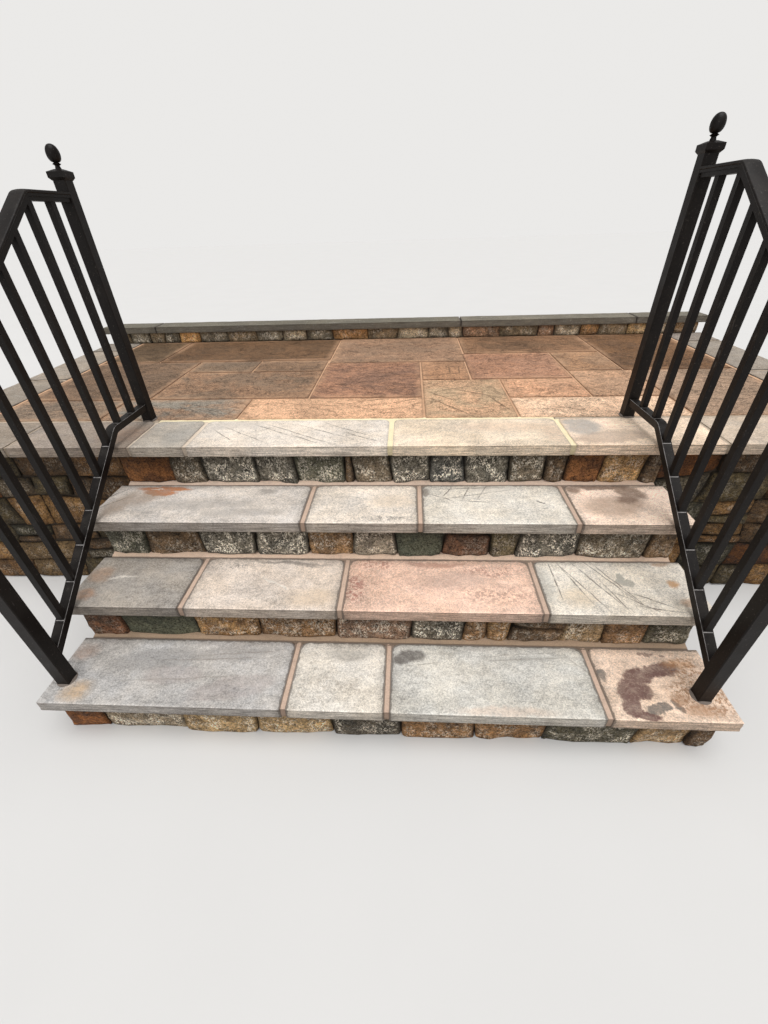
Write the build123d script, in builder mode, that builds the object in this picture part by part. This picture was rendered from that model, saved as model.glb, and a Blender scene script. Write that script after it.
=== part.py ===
# Outdoor stone steps: three slab treads on rubble risers lead up to a paved
# landing, with an iron railing on each side. Millimetres, +Z up, +Y towards the
# house. The origin is at the middle of the ground under the whole part.
import os
from math import atan, cos

from build123d import *

os.makedirs("parts", exist_ok=True)

# Flight
step_width = 2550
tread_count = 3
first_rise = 230
rise = 210
going = 287
slab_thickness = 50
nosing = 40
end_overhang = 30
slab_edge = 3

# Joints between the slabs, measured from the middle of the flight
tread_joints = [[-335, 45, 830], [-785, -146, 648], [-322, 172, 815]]
edge_joints = [-1158, -895, 40, 832]
edge_ends = [-1750, 1475]
joint = 18
pointing = 22
mortar_recess = 4

# Stone facing and the mass behind it
facing_thickness = 90

# Porch that the flight leads to
porch_width = 4800
landing_depth = 2000
edge_depth = 300
side_joints = [690, 1420]
course_height = 79
sill_thickness = 50
sill_depth = 180
sill_nosing = 30
sill_joints = [-1320, 395, 1480]

# Railings
left_rail_inset = 57
right_rail_inset = 93
post_size = 50
post_edge = 3
low_post_setback = 104
high_post_setback = 330
bar_size = 25
bars_per_side = 8
channel_width = 38
top_channel = 14
lower_rail = 30
cap_rail_width = 57
cap_rail_height = 20
cap_rail_bead = 10
cap_rail_lip = 4
rail_bend = 60
handrail_over_nosing = 890
handrail_over_landing = 941
lower_over_nosing = 62
lower_over_landing = 86
post_over_handrail = 34
core_hole = 38

# Post cap and finial
cap_size = 65
cap_flare = 9
cap_band = 18
cap_crown = 8
cap_neck = 24
finial_foot = 11
finial_neck = 8
finial_ring = 15
finial_ring_height = 5
finial_stem = 20
finial_ball_height = 55
finial_ball_reach = 30

# Worked out from the sizes above
stair_height = first_rise + tread_count * rise
course_depth = sill_depth - sill_nosing
overall_depth = tread_count * going + landing_depth + course_depth
front = -overall_depth / 2
back = overall_depth / 2
edge_front = front + tread_count * going
paving_front = edge_front + edge_depth + joint
paving_back = edge_front + landing_depth
side_wall = porch_width / 2
facing_width = step_width - 2 * end_overhang
slope = rise / going
tilt = atan(slope)
lean = 1 / cos(tilt)
low_post = front + low_post_setback
high_post = edge_front + high_post_setback
rail_places = {
    "left": left_rail_inset - step_width / 2,
    "right": step_width / 2 - right_rail_inset,
}
post_places = [(x, y) for x in rail_places.values() for y in (low_post, high_post)]


def tread_front(step):
    return front + (step - 1) * going


def tread_top(step):
    return first_rise + (step - 1) * rise


def riser_face(step):
    return tread_front(step) + nosing


def spans(ends, joints, gap):
    # Left and right edge of each stone in a row, with a joint between neighbours
    starts = [ends[0]] + [place + gap / 2 for place in joints]
    stops = [place - gap / 2 for place in joints] + [ends[1]]
    return list(zip(starts, stops))


def rectangle_between(x_span, y_span):
    # Sketch rectangle between two X and two Y values
    with Locations((sum(x_span) / 2, sum(y_span) / 2)):
        Rectangle(x_span[1] - x_span[0], y_span[1] - y_span[0])


def save(part, name):
    part.label = name
    export_step(part, f"parts/{name}.step")


# Masonry core of the flight: a stepped mass that the risers and slabs stand on
def flight_outline():
    points = [(riser_face(1) + facing_thickness, 0)]
    for step in range(1, tread_count + 1):
        top = tread_top(step) - slab_thickness
        near = riser_face(step) + facing_thickness
        far = riser_face(step + 1) + facing_thickness
        points += [(near, top), (far, top)]
    points += [(riser_face(tread_count + 1) + facing_thickness, 0)]
    return points


def make_flight_mass(x_span, name):
    with BuildPart() as mass:
        with BuildSketch(Plane.YZ.offset(x_span[0])):
            with BuildLine():
                Polyline(flight_outline(), close=True)
            make_face()
        extrude(amount=x_span[1] - x_span[0])
    save(mass.part, name)


flank = facing_width / 2
make_flight_mass((-flank + facing_thickness, flank - facing_thickness), "flight_core")
make_flight_mass((-flank, -flank + facing_thickness), "flank_wall_left")
make_flight_mass((flank - facing_thickness, flank), "flank_wall_right")


# Risers: one course of rubble facing under each row of slabs
def make_riser(step):
    foot = 0 if step == 1 else tread_top(step - 1) - slab_thickness
    with BuildPart() as riser:
        with BuildSketch(Plane.XY.offset(foot)):
            rectangle_between((-flank, flank), (riser_face(step), riser_face(step) + facing_thickness))
        extrude(amount=tread_top(step) - slab_thickness - foot)
    save(riser.part, f"riser_{step}")


for step in range(1, tread_count + 2):
    make_riser(step)


# Slab treads: each row is four slabs, bedded on the core and pointed together
def make_tread(step):
    ends = (-step_width / 2, step_width / 2)
    under = tread_top(step) - slab_thickness
    slab_back = riser_face(step + 1) - pointing
    with BuildPart() as tread:
        with BuildSketch(Plane.XY.offset(under)):
            for span in spans(ends, tread_joints[step - 1], joint):
                rectangle_between(span, (tread_front(step), slab_back))
            if step == 1:
                with Locations(*[(x, low_post) for x in rail_places.values()]):
                    Circle(core_hole, mode=Mode.SUBTRACT)
        extrude(amount=slab_thickness)
        top_edges = tread.edges().filter_by(GeomType.LINE).group_by(Axis.Z)[-1]
        chamfer(top_edges, length=slab_edge)
    save(tread.part, f"tread_{step}")


def make_tread_mortar(step):
    # A comb: one strip along the riser behind, with a tooth between slabs
    under = tread_top(step) - slab_thickness
    slab_back = riser_face(step + 1) - pointing
    with BuildPart() as mortar:
        with BuildSketch(Plane.XY.offset(under)):
            rectangle_between((-flank, flank), (slab_back, riser_face(step + 1)))
            for place in tread_joints[step - 1]:
                tooth = (place - joint / 2, place + joint / 2)
                rectangle_between(tooth, (tread_front(step) + mortar_recess, slab_back))
        extrude(amount=slab_thickness - mortar_recess)
    save(mortar.part, f"tread_mortar_{step}")


for step in range(1, tread_count + 1):
    make_tread(step)
    make_tread_mortar(step)


# Porch: a mass of masonry inside facing walls, all carried up to the paving
wall_top = stair_height - slab_thickness
wall_front = riser_face(tread_count + 1)
core_front = wall_front + facing_thickness
core_back = back - facing_thickness
core_side = side_wall - facing_thickness


def make_masonry(x_span, y_span, name):
    with BuildPart() as masonry:
        with BuildSketch():
            rectangle_between(x_span, y_span)
        extrude(amount=wall_top)
    save(masonry.part, name)


make_masonry((-core_side, core_side), (core_front, core_back), "porch_core")
make_masonry((-side_wall, -flank), (wall_front, core_front), "porch_wall_front_left")
make_masonry((flank, side_wall), (wall_front, core_front), "porch_wall_front_right")
make_masonry((-side_wall, -core_side), (core_front, back), "porch_wall_side_left")
make_masonry((core_side, side_wall), (core_front, back), "porch_wall_side_right")
make_masonry((-core_side, core_side), (core_back, back), "porch_wall_back")


# Edge slabs along the front of the porch, over the wall and the top riser
def make_edge_slabs(x_span, joints, name):
    with BuildPart() as edge:
        with BuildSketch(Plane.XY.offset(wall_top)):
            for span in spans(x_span, joints, joint):
                rectangle_between(span, (edge_front, edge_front + edge_depth))
            with Locations(*[(x, high_post) for x in rail_places.values()]):
                Circle(core_hole, mode=Mode.SUBTRACT)
        extrude(amount=slab_thickness)
        top_edges = edge.edges().filter_by(GeomType.LINE).group_by(Axis.Z)[-1]
        chamfer(top_edges, length=slab_edge)
    save(edge.part, name)


edge_end = side_wall + nosing
make_edge_slabs((edge_ends[0] + joint / 2, edge_ends[1] - joint / 2), edge_joints, "landing_edge")
make_edge_slabs((-edge_end, edge_ends[0] - joint / 2), [], "edge_slab_left")
make_edge_slabs((edge_ends[1] + joint / 2, edge_end), [], "edge_slab_right")


# Edge slabs along both sides of the porch
def make_side_slabs(outer, inner, name):
    with BuildPart() as side:
        with BuildSketch(Plane.XY.offset(wall_top)):
            places = [paving_front + along for along in side_joints]
            for span in spans((paving_front, paving_back), places, joint):
                rectangle_between((min(outer, inner), max(outer, inner)), span)
        extrude(amount=slab_thickness)
        chamfer(side.edges().group_by(Axis.Z)[-1], length=slab_edge)
    save(side.part, name)


paving_side = edge_end - edge_depth - joint
make_side_slabs(-edge_end, -edge_end + edge_depth, "side_slabs_left")
make_side_slabs(edge_end, edge_end - edge_depth, "side_slabs_right")


# Paving of the landing, and the mortar between it and the edge slabs
with BuildPart() as landing_paving:
    with BuildSketch(Plane.XY.offset(wall_top)):
        rectangle_between((-paving_side, paving_side), (paving_front, paving_back))
        with Locations(*[(x, high_post) for x in rail_places.values()]):
            Circle(core_hole, mode=Mode.SUBTRACT)
    extrude(amount=slab_thickness)
save(landing_paving.part, "landing_paving")

with BuildPart() as landing_mortar:
    with BuildSketch(Plane.XY.offset(wall_top)):
        rectangle_between((-side_wall, side_wall), (edge_front + edge_depth, paving_front))
        for place in edge_joints + edge_ends:
            tooth = (place - joint / 2, place + joint / 2)
            rectangle_between(tooth, (edge_front + mortar_recess, edge_front + edge_depth))
        for side in (-1, 1):
            strip = sorted((side * paving_side, side * (paving_side + joint)))
            rectangle_between(strip, (paving_front, paving_back))
        with Locations(*[(x, high_post) for x in rail_places.values()]):
            Circle(core_hole, mode=Mode.SUBTRACT)
    extrude(amount=slab_thickness - mortar_recess)
save(landing_mortar.part, "landing_mortar")


# Threshold at the back: a low course of stones under a row of sill slabs
with BuildPart() as threshold_course:
    with BuildSketch(Plane.XY.offset(wall_top)):
        rectangle_between((-side_wall, side_wall), (paving_back, back))
    extrude(amount=slab_thickness + course_height)
save(threshold_course.part, "threshold_course")

with BuildPart() as threshold_sill:
    with BuildSketch(Plane.XY.offset(stair_height + course_height)):
        for span in spans((-edge_end, edge_end), sill_joints, mortar_recess):
            rectangle_between(span, (back - sill_depth, back))
    extrude(amount=sill_thickness)
    chamfer(threshold_sill.edges().group_by(Axis.Z)[-1], length=slab_edge)
save(threshold_sill.part, "threshold_sill")


# Lines of the railing. A rail runs level over the landing, bends, and falls
# parallel to the nosings of the steps down to the low post.
def rail_level(over_landing):
    return stair_height + over_landing


def nosing_line(y, over_nosing):
    return first_rise + over_nosing + slope * (y - front)


def bend_place(over_nosing, over_landing):
    return front + (rail_level(over_landing) - first_rise - over_nosing) / slope


def rail_height(y, over_nosing, over_landing):
    return min(rail_level(over_landing), nosing_line(y, over_nosing))


handrail_line = (handrail_over_nosing, handrail_over_landing)
channel_line = (
    handrail_over_nosing - cap_rail_height * lean,
    handrail_over_landing - cap_rail_height,
)
lower_line = (lower_over_nosing, lower_over_landing)
post_half = post_size / 2
high_face = high_post - post_half
low_face = low_post + post_half


def rail_path(x, line):
    # From the high post's face past the low post's face. The bends of all the
    # rails under the handrail share its centre, so each is tighter by its depth
    over_nosing, over_landing = line
    depth = handrail_over_landing - over_landing
    bend_radius = rail_bend - depth if depth < rail_bend / 2 else rail_bend
    bend = bend_place(over_nosing, over_landing)
    return FilletPolyline(
        (x, high_face, rail_level(over_landing)),
        (x, bend, rail_level(over_landing)),
        (x, low_post, nosing_line(low_post, over_nosing)),
        radius=bend_radius,
    )


def rail_start(x, line):
    # Sketch plane on the high post's face: local X across the rail, local Y up
    return Plane(origin=(x, high_face, rail_level(line[1])), x_dir=(1, 0, 0), z_dir=(0, -1, 0))


def end_at_low_post():
    return Plane(origin=(0, low_face, 0), x_dir=(1, 0, 0), z_dir=(0, 1, 0))


# Moulded handrail: a crowned top with a round bead proud of each side
def make_handrail(side, x):
    half = cap_rail_width / 2
    wall = half - cap_rail_lip
    bead_top = -cap_rail_lip / 2
    bead_foot = bead_top - cap_rail_bead
    bead_middle = (bead_top + bead_foot) / 2
    foot = -cap_rail_height
    with BuildPart() as handrail:
        with BuildLine() as path:
            rail_path(x, handrail_line)
        with BuildSketch(rail_start(x, handrail_line)):
            with BuildLine():
                ThreePointArc((-wall, bead_top), (0, 0), (wall, bead_top))
                ThreePointArc((wall, bead_top), (half, bead_middle), (wall, bead_foot))
                Polyline((wall, bead_foot), (wall, foot), (-wall, foot), (-wall, bead_foot))
                ThreePointArc((-wall, bead_foot), (-half, bead_middle), (-wall, bead_top))
            make_face()
        sweep(path=path.line)
        split(bisect_by=end_at_low_post(), keep=Keep.TOP)
    save(handrail.part, f"handrail_{side}")


# Flat channels that the bars are set in: one under the handrail, one at the foot
def make_channel(side, x, line, depth, name):
    with BuildPart() as channel:
        with BuildLine() as path:
            rail_path(x, line)
        with BuildSketch(rail_start(x, line)):
            with Locations((0, -depth / 2)):
                Rectangle(channel_width, depth)
        sweep(path=path.line)
        split(bisect_by=end_at_low_post(), keep=Keep.TOP)
    save(channel.part, f"{name}_{side}")


# Upright bars, evenly spaced between the posts. Their feet are cut to the lower
# rail, and their heads to the underside of the channel, also round its bend.
def make_bars(side, x):
    pitch = (high_post - low_post) / (bars_per_side + 1)
    half = bar_size / 2
    with BuildPart() as bars:
        for number in range(1, bars_per_side + 1):
            near = low_post + number * pitch - half
            far = near + bar_size
            with BuildSketch(Plane.YZ.offset(x - half)):
                with BuildLine():
                    Polyline(
                        (near, rail_height(near, *lower_line)),
                        (far, rail_height(far, *lower_line)),
                        (far, rail_height(far, *channel_line)),
                        (near, rail_height(near, *channel_line)),
                        close=True,
                    )
                make_face()
            extrude(amount=bar_size)
        with BuildLine() as path:
            rail_path(x, channel_line)
        with BuildSketch(rail_start(x, channel_line)):
            Rectangle(channel_width, 2 * top_channel)
        sweep(path=path.line, mode=Mode.SUBTRACT)
    save(bars.part, f"bars_{side}")


# Square posts, set into round holes cored through the slabs
def post_top(place):
    if place == "high":
        return rail_level(handrail_over_landing) + post_over_handrail
    return nosing_line(low_face, handrail_over_nosing) + post_over_handrail


def make_post(side, place, x, y, foot):
    with BuildPart() as post:
        with BuildSketch(Plane.XY.offset(foot)):
            with Locations((x, y)):
                Rectangle(post_size, post_size)
        extrude(amount=post_top(place) - foot)
        chamfer(post.edges().filter_by(Axis.Z), length=post_edge)
    save(post.part, f"post_{place}_{side}")


# Cast caps: each flares out from its post, stands up as a band, hollows to a
# point and carries an egg on a ringed neck, turned about the post's axis
def cap_profile():
    # Half of the finial's outline: foot, neck, ring, then the egg as one curve
    ring_top = finial_stem - finial_ring_height
    tip = finial_stem + finial_ball_height
    Polyline(
        (0, tip),
        (0, 0),
        (finial_foot, 0),
        (finial_neck, ring_top - finial_ring_height),
        (finial_ring, ring_top),
        (finial_neck, finial_stem),
    )
    Bezier(
        (finial_neck, finial_stem),
        (finial_ball_reach, finial_stem),
        (finial_ball_reach, tip),
        (0, tip),
    )


def make_caps(side, x):
    with BuildPart() as caps:
        for place, y in (("low", low_post), ("high", high_post)):
            foot = post_top(place)
            band = foot + cap_flare
            crown = band + cap_band
            finial = crown + cap_crown
            for low, high, low_size, high_size in (
                (foot, band, post_size, cap_size),
                (band, crown, cap_size, cap_size),
                (crown, finial, cap_size, cap_neck),
            ):
                for height, size in ((low, low_size), (high, high_size)):
                    with BuildSketch(Plane.XY.offset(height)):
                        with Locations((x, y)):
                            Rectangle(size, size)
                loft()
            with BuildSketch(Plane(origin=(x, y, finial), x_dir=(1, 0, 0), z_dir=(0, -1, 0))):
                with BuildLine():
                    cap_profile()
                make_face()
            revolve(axis=Axis((x, y, finial), (0, 0, 1)))
    save(caps.part, f"post_caps_{side}")


# Grout collars that fill the cored holes round the feet of the posts
def make_collars():
    with BuildPart() as collars:
        for x, y in post_places:
            foot = (first_rise if y == low_post else stair_height) - slab_thickness
            with BuildSketch(Plane.XY.offset(foot)):
                with Locations((x, y)):
                    Circle(core_hole)
                    Rectangle(post_size, post_size, mode=Mode.SUBTRACT)
            extrude(amount=slab_thickness)
    save(collars.part, "post_collars")


for side, x in rail_places.items():
    make_handrail(side, x)
    make_channel(side, x, channel_line, top_channel, "top_channel")
    make_channel(side, x, lower_line, lower_rail, "lower_rail")
    make_bars(side, x)
    make_caps(side, x)
    for place, y, top in (("low", low_post, first_rise), ("high", high_post, stair_height)):
        make_post(side, place, x, y, top - slab_thickness)
make_collars()
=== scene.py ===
import functools
import math
import random

import bpy
import numpy as np
from mathutils import Matrix, Vector, noise


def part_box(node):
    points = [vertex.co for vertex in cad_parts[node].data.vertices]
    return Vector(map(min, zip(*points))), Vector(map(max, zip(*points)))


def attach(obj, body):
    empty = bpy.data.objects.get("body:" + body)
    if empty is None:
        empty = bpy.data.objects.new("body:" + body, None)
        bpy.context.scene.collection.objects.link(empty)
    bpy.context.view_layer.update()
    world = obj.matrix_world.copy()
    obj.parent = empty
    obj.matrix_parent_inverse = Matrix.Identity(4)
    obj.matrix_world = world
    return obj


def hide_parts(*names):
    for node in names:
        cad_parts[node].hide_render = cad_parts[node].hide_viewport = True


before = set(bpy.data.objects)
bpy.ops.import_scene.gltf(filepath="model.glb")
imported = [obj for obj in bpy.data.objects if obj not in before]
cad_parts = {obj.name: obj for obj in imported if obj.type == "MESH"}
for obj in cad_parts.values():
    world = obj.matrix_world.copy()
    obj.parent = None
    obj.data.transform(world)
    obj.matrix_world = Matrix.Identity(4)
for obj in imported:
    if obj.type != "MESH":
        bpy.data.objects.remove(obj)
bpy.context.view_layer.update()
print("frame loaded with", len(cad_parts), "nodes")


# camera at the photograph's viewing angle
cameraView = {
    "place": (0.1183, -2.3304, 1.6870),
    "turn": -3.888,      # degrees, towards the right
    "downward": 34.935,
    "roll": -2.034,
    "lens": 14.884,
    "sensor": 36.0,
}


def addCamera():
    turn, down, roll = (math.radians(cameraView[key]) for key in ("turn", "downward", "roll"))
    level = math.cos(down)
    ahead = Vector((math.sin(turn) * level, math.cos(turn) * level, -math.sin(down)))
    right = Vector((math.cos(turn), -math.sin(turn), 0))
    upward = right.cross(ahead)
    across = right * math.cos(roll) + upward * math.sin(roll)
    upright = upward * math.cos(roll) - right * math.sin(roll)
    bpy.ops.object.camera_add()
    camera = bpy.context.object
    axes = Matrix((across, upright, -ahead)).transposed().to_4x4()
    camera.matrix_world = Matrix.Translation(cameraView["place"]) @ axes
    camera.data.lens = cameraView["lens"]
    camera.data.sensor_width = cameraView["sensor"]
    camera.data.clip_end = 100
    bpy.context.scene.camera = camera


addCamera()


# small helpers for selecting, joining and finishing pieces
def useOnly(piece):
    bpy.ops.object.select_all(action="DESELECT")
    piece.select_set(True)
    bpy.context.view_layer.objects.active = piece


def joinAs(name, parts):
    bpy.ops.object.select_all(action="DESELECT")
    for part in parts:
        part.select_set(True)
    bpy.context.view_layer.objects.active = parts[0]
    if len(parts) > 1:
        bpy.ops.object.join()
    parts[0].name = name
    parts[0].data.name = name
    return parts[0]


def pointsOf(piece):
    points = np.empty(len(piece.data.vertices) * 3)
    piece.data.vertices.foreach_get("co", points)
    return points.reshape(-1, 3)


def movePoints(piece, points):
    piece.data.vertices.foreach_set("co", points.ravel())
    piece.data.update()


def storeValue(piece, name, values):
    layer = piece.data.attributes.new(name, "FLOAT", "POINT")
    values = np.broadcast_to(values, len(piece.data.vertices))
    layer.data.foreach_set("value", values.astype(np.float32))


def storeTone(piece, tone, name="tone"):
    layer = piece.data.attributes.new(name, "FLOAT_COLOR", "POINT")
    colours = np.tile((*tone, 1.0), (len(piece.data.vertices), 1)).astype(np.float32)
    layer.data.foreach_set("color", colours.ravel())


def groupPoints(piece, name, chosen):
    group = piece.vertex_groups.new(name=name)
    group.add([int(i) for i in np.nonzero(chosen)[0]], 1.0, "REPLACE")


def startEditing(select="SELECT"):
    bpy.ops.object.mode_set(mode="EDIT")
    bpy.ops.mesh.select_all(action=select)


def stopEditing():
    bpy.ops.object.mode_set(mode="OBJECT")


def roughen(piece, layers, group="", level=1.0):
    # cloudy displacements along the normals, each with its size, depth and strength;
    # level 1 only ever takes stone away
    for size, depth, strength in layers:
        texture = bpy.data.textures.new("grain", type="CLOUDS")
        texture.noise_scale = size
        texture.noise_depth = depth
        modifier = piece.modifiers.new("rough", "DISPLACE")
        modifier.texture = texture
        modifier.texture_coords = "LOCAL"
        modifier.mid_level = level
        modifier.strength = strength
        modifier.vertex_group = group
        useOnly(piece)
        bpy.ops.object.modifier_apply(modifier=modifier.name)
        bpy.data.textures.remove(texture)


def finishPiece(piece, material, nodes=()):
    piece.data.materials.clear()
    piece.data.materials.append(material)
    useOnly(piece)
    bpy.ops.object.shade_smooth_by_angle(angle=math.radians(50))
    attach(piece, "root")
    if nodes:
        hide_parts(*nodes)


def addBlock(low, high, cell, layers, ease):
    # a grid of faces drawn up to its thickness, with its arrises eased
    size = [b - a for a, b in zip(low, high)]
    bpy.ops.object.select_all(action="DESELECT")
    bpy.ops.mesh.primitive_grid_add(
        x_subdivisions=max(2, round(size[0] / cell)),
        y_subdivisions=max(2, round(size[1] / cell)),
        size=1,
    )
    block = bpy.context.object
    startEditing()
    bpy.ops.transform.resize(value=(size[0], size[1], 1))
    bpy.ops.transform.translate(value=((low[0] + high[0]) / 2, (low[1] + high[1]) / 2, low[2]))
    for _ in range(layers):
        bpy.ops.mesh.extrude_region_move(TRANSFORM_OT_translate={"value": (0, 0, size[2] / layers)})
    bpy.ops.mesh.select_all(action="SELECT")
    bpy.ops.mesh.normals_make_consistent(inside=False)
    if ease:
        bpy.ops.mesh.select_all(action="DESELECT")
        bpy.ops.mesh.edges_select_sharp(sharpness=math.radians(50))
        bpy.ops.mesh.bevel(offset=ease, segments=2, affect="EDGES")
    stopEditing()
    return block


# node helpers for the procedural finishes
def startMaterial(name):
    material = bpy.data.materials.new(name)
    material.use_nodes = True
    tree = material.node_tree
    tree.nodes.clear()
    shader = tree.nodes.new("ShaderNodeBsdfPrincipled")
    output = tree.nodes.new("ShaderNodeOutputMaterial")
    tree.links.new(shader.outputs["BSDF"], output.inputs["Surface"])
    return material, tree, shader


def put(tree, kind, inputs=None, **settings):
    node = tree.nodes.new("ShaderNode" + kind)
    for key, value in settings.items():
        setattr(node, key, value)
    for key, value in (inputs or {}).items():
        if isinstance(value, bpy.types.NodeSocket):
            tree.links.new(value, node.inputs[key])
        else:
            node.inputs[key].default_value = value
    return node


def objectPlace(tree):
    return put(tree, "TexCoord").outputs["Object"]


def stretch(tree, vector, scale=(1, 1, 1), turn=0.0, place=(0, 0, 0), kind="POINT"):
    inputs = {"Scale": scale, "Rotation": (0, 0, math.radians(turn)), "Location": place}
    return put(tree, "Mapping", {"Vector": vector, **inputs}, vector_type=kind).outputs["Vector"]


def cloudy(tree, vector, scale, detail=4.0, rough=0.55, bend=0.0):
    inputs = {"Scale": scale, "Detail": detail, "Roughness": rough, "Distortion": bend}
    return put(tree, "TexNoise", {"Vector": vector, **inputs}).outputs["Fac"]


def grainy(tree, vector, scale):
    # a random value for each small grain
    colour = put(tree, "TexVoronoi", {"Vector": vector, "Scale": scale}).outputs["Color"]
    return put(tree, "SeparateXYZ", {0: colour}).outputs["X"]


def reckon(tree, operation, first, second=0.0, third=0.0):
    return put(tree, "Math", {0: first, 1: second, 2: third}, operation=operation).outputs[0]


def fold(tree, operation, values):
    return functools.reduce(lambda first, second: reckon(tree, operation, first, second), values)


def times(tree, *values):
    return fold(tree, "MULTIPLY", values)


def awayFrom(tree, value, level):
    return reckon(tree, "ABSOLUTE", reckon(tree, "SUBTRACT", value, level))


def shaken(tree, value, unrest, amount):
    # a value made uneven by a noise
    return reckon(tree, "MULTIPLY_ADD", reckon(tree, "SUBTRACT", unrest, 0.5), amount, value)


def spread(tree, value, low, high, start=0.0, end=1.0):
    inputs = {"From Min": low, "From Max": high, "To Min": start, "To Max": end}
    node = put(tree, "MapRange", {"Value": value, **inputs}, interpolation_type="SMOOTHSTEP")
    return node.outputs["Result"]


def blend(tree, share, first, second, kind="MIX"):
    first, second = ((*c, 1.0) if isinstance(c, tuple) else c for c in (first, second))
    inputs = {0: share, 6: first, 7: second}
    return put(tree, "Mix", inputs, data_type="RGBA", blend_type=kind).outputs[2]


def cover(tree, colour, mask, strength, tone):
    return blend(tree, times(tree, mask, strength), colour, tone)


def brighten(tree, colour, factor):
    return put(tree, "VectorMath", {0: colour, "Scale": factor}, operation="SCALE").outputs[0]


def lightened(tree, colour, layers):
    # multiplies a colour by one plus the weighted sum of centred noises
    light = 1 - sum(weight for value, weight in layers) / 2
    for value, weight in layers:
        light = reckon(tree, "MULTIPLY_ADD", value, weight, light)
    return brighten(tree, colour, reckon(tree, "MAXIMUM", light, 0.15))


def readTone(tree, name="tone"):
    return put(tree, "Attribute", attribute_name=name).outputs["Color"]


def readValue(tree, name):
    return put(tree, "Attribute", attribute_name=name).outputs["Fac"]


def plainTone(tree, tone):
    return put(tree, "CombineXYZ", dict(enumerate(tone))).outputs[0]


def upwardness(tree, normal="True Normal"):
    normal = put(tree, "NewGeometry").outputs[normal]
    return put(tree, "SeparateXYZ", {0: normal}).outputs["Z"]


def facing(tree):
    # 1 on faces that look up, 0 on upright ones
    return spread(tree, upwardness(tree), 0.35, 0.75)


def dress(tree, shader, colour, unrest, roughness, heights, distance, strength, specular=0.5):
    # the roughness follows a noise between two values; the bump is a sum of (height, weight)
    tree.links.new(colour, shader.inputs["Base Color"])
    tree.links.new(spread(tree, unrest, 0.3, 0.7, *roughness), shader.inputs["Roughness"])
    shader.inputs["Specular IOR Level"].default_value = specular
    height = fold(tree, "ADD", [times(tree, *pair) for pair in heights])
    bump = put(tree, "Bump", {"Height": height, "Distance": distance, "Strength": strength})
    tree.links.new(bump.outputs["Normal"], shader.inputs["Normal"])


def wandered(tree, place, *moves):
    # a place moved about by noises of a given scale and amount, so that outlines turn ragged
    for scale, amount in moves:
        unrest = put(
            tree, "TexNoise", {"Vector": place, "Scale": scale, "Detail": 4.0}
        ).outputs["Color"]
        offset = put(
            tree, "VectorMath", {0: unrest, 1: (0.5, 0.5, 0.5)}, operation="SUBTRACT"
        ).outputs[0]
        reach = (2 * amount, 2 * amount, 0)
        place = put(
            tree, "VectorMath", {0: offset, 1: reach, 2: place}, operation="MULTIPLY_ADD"
        ).outputs[0]
    return place


def spotMask(tree, place, spots):
    # patches round spots, each given by middle, half length, half width, turn and softness
    masks = []
    for x, y, length, width, turn, *given in spots:
        softness = given[0] if given else 0.35
        local = stretch(tree, place, (length, width, 1), turn, (x, y, 0), "TEXTURE")
        flat = put(tree, "VectorMath", {0: local, 1: (1, 1, 0)}, operation="MULTIPLY").outputs[0]
        away = put(tree, "VectorMath", {0: flat}, operation="LENGTH").outputs["Value"]
        masks.append(spread(tree, away, 1.0 + softness / 2, 1.0 - softness / 2))
    return fold(tree, "MAXIMUM", masks)


def strokeMask(tree, place, strokes, width):
    return spotMask(tree, place, [(x, y, half, width, turn, 1.0) for x, y, half, turn in strokes])


slabLook = {
    "broad": 1.25,        # contrast of the wide clouds, the mottling, the sand and the grains
    "mottle": 0.90,
    "sand": 1.10,
    "grains": 0.45,
    "cool": (0.985, 1.0, 1.012),
    "warm": (1.012, 0.995, 0.960),
    "cleft": (0.08, (0.16, 0.14, 0.13)),       # strength and tone of dark and pale bedding lines,
    "scuff": (0.34, (0.86, 0.82, 0.76)),
    "grit": (0.45, (0.13, 0.115, 0.105)),      # of dark grit and pale grains,
    "pale": (0.35, (0.80, 0.77, 0.72)),
    "dirt": (0.22, (0.20, 0.17, 0.14)),        # and of the even brown mixed into upright faces
    "stroke": (0.24, 0.205, 0.17),
    "strokeWidth": 0.0030,
    "border": (0.105, 0.085, 0.070),
    "borderWidth": 0.0078,
    "paintedHighlight": 1.16,         # how much lighter the front arris is painted, a painted highlight
}


def bedded(tree, colour, place):
    # thin lines where the layers of the bed come to the surface, dark ones and scuffed pale
    # ones, with grit and pale grains; the dark lines are wanted for the bump too
    bed = cloudy(tree, stretch(tree, place, (1, 3.4, 3.4), 8), 6, 7, 0.7, 0.8)
    seen = spread(tree, cloudy(tree, place, 7, 3), 0.46, 0.60)
    cleft = times(tree, spread(tree, awayFrom(tree, bed, 0.50), 0.010, 0.0), seen)
    scuff = spread(tree, awayFrom(tree, bed, 0.60), 0.008, 0.0)
    grit = spread(tree, cloudy(tree, place, 120, 3, 0.6), 0.61, 0.69)
    pale = cloudy(tree, stretch(tree, place, place=(3, 1, 0)), 100, 3, 0.6)
    pale = spread(tree, pale, 0.62, 0.70)
    for mask, layer in ((cleft, "cleft"), (scuff, "scuff"), (grit, "grit"), (pale, "pale")):
        colour = cover(tree, colour, mask, *slabLook[layer])
    return colour, cleft


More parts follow.
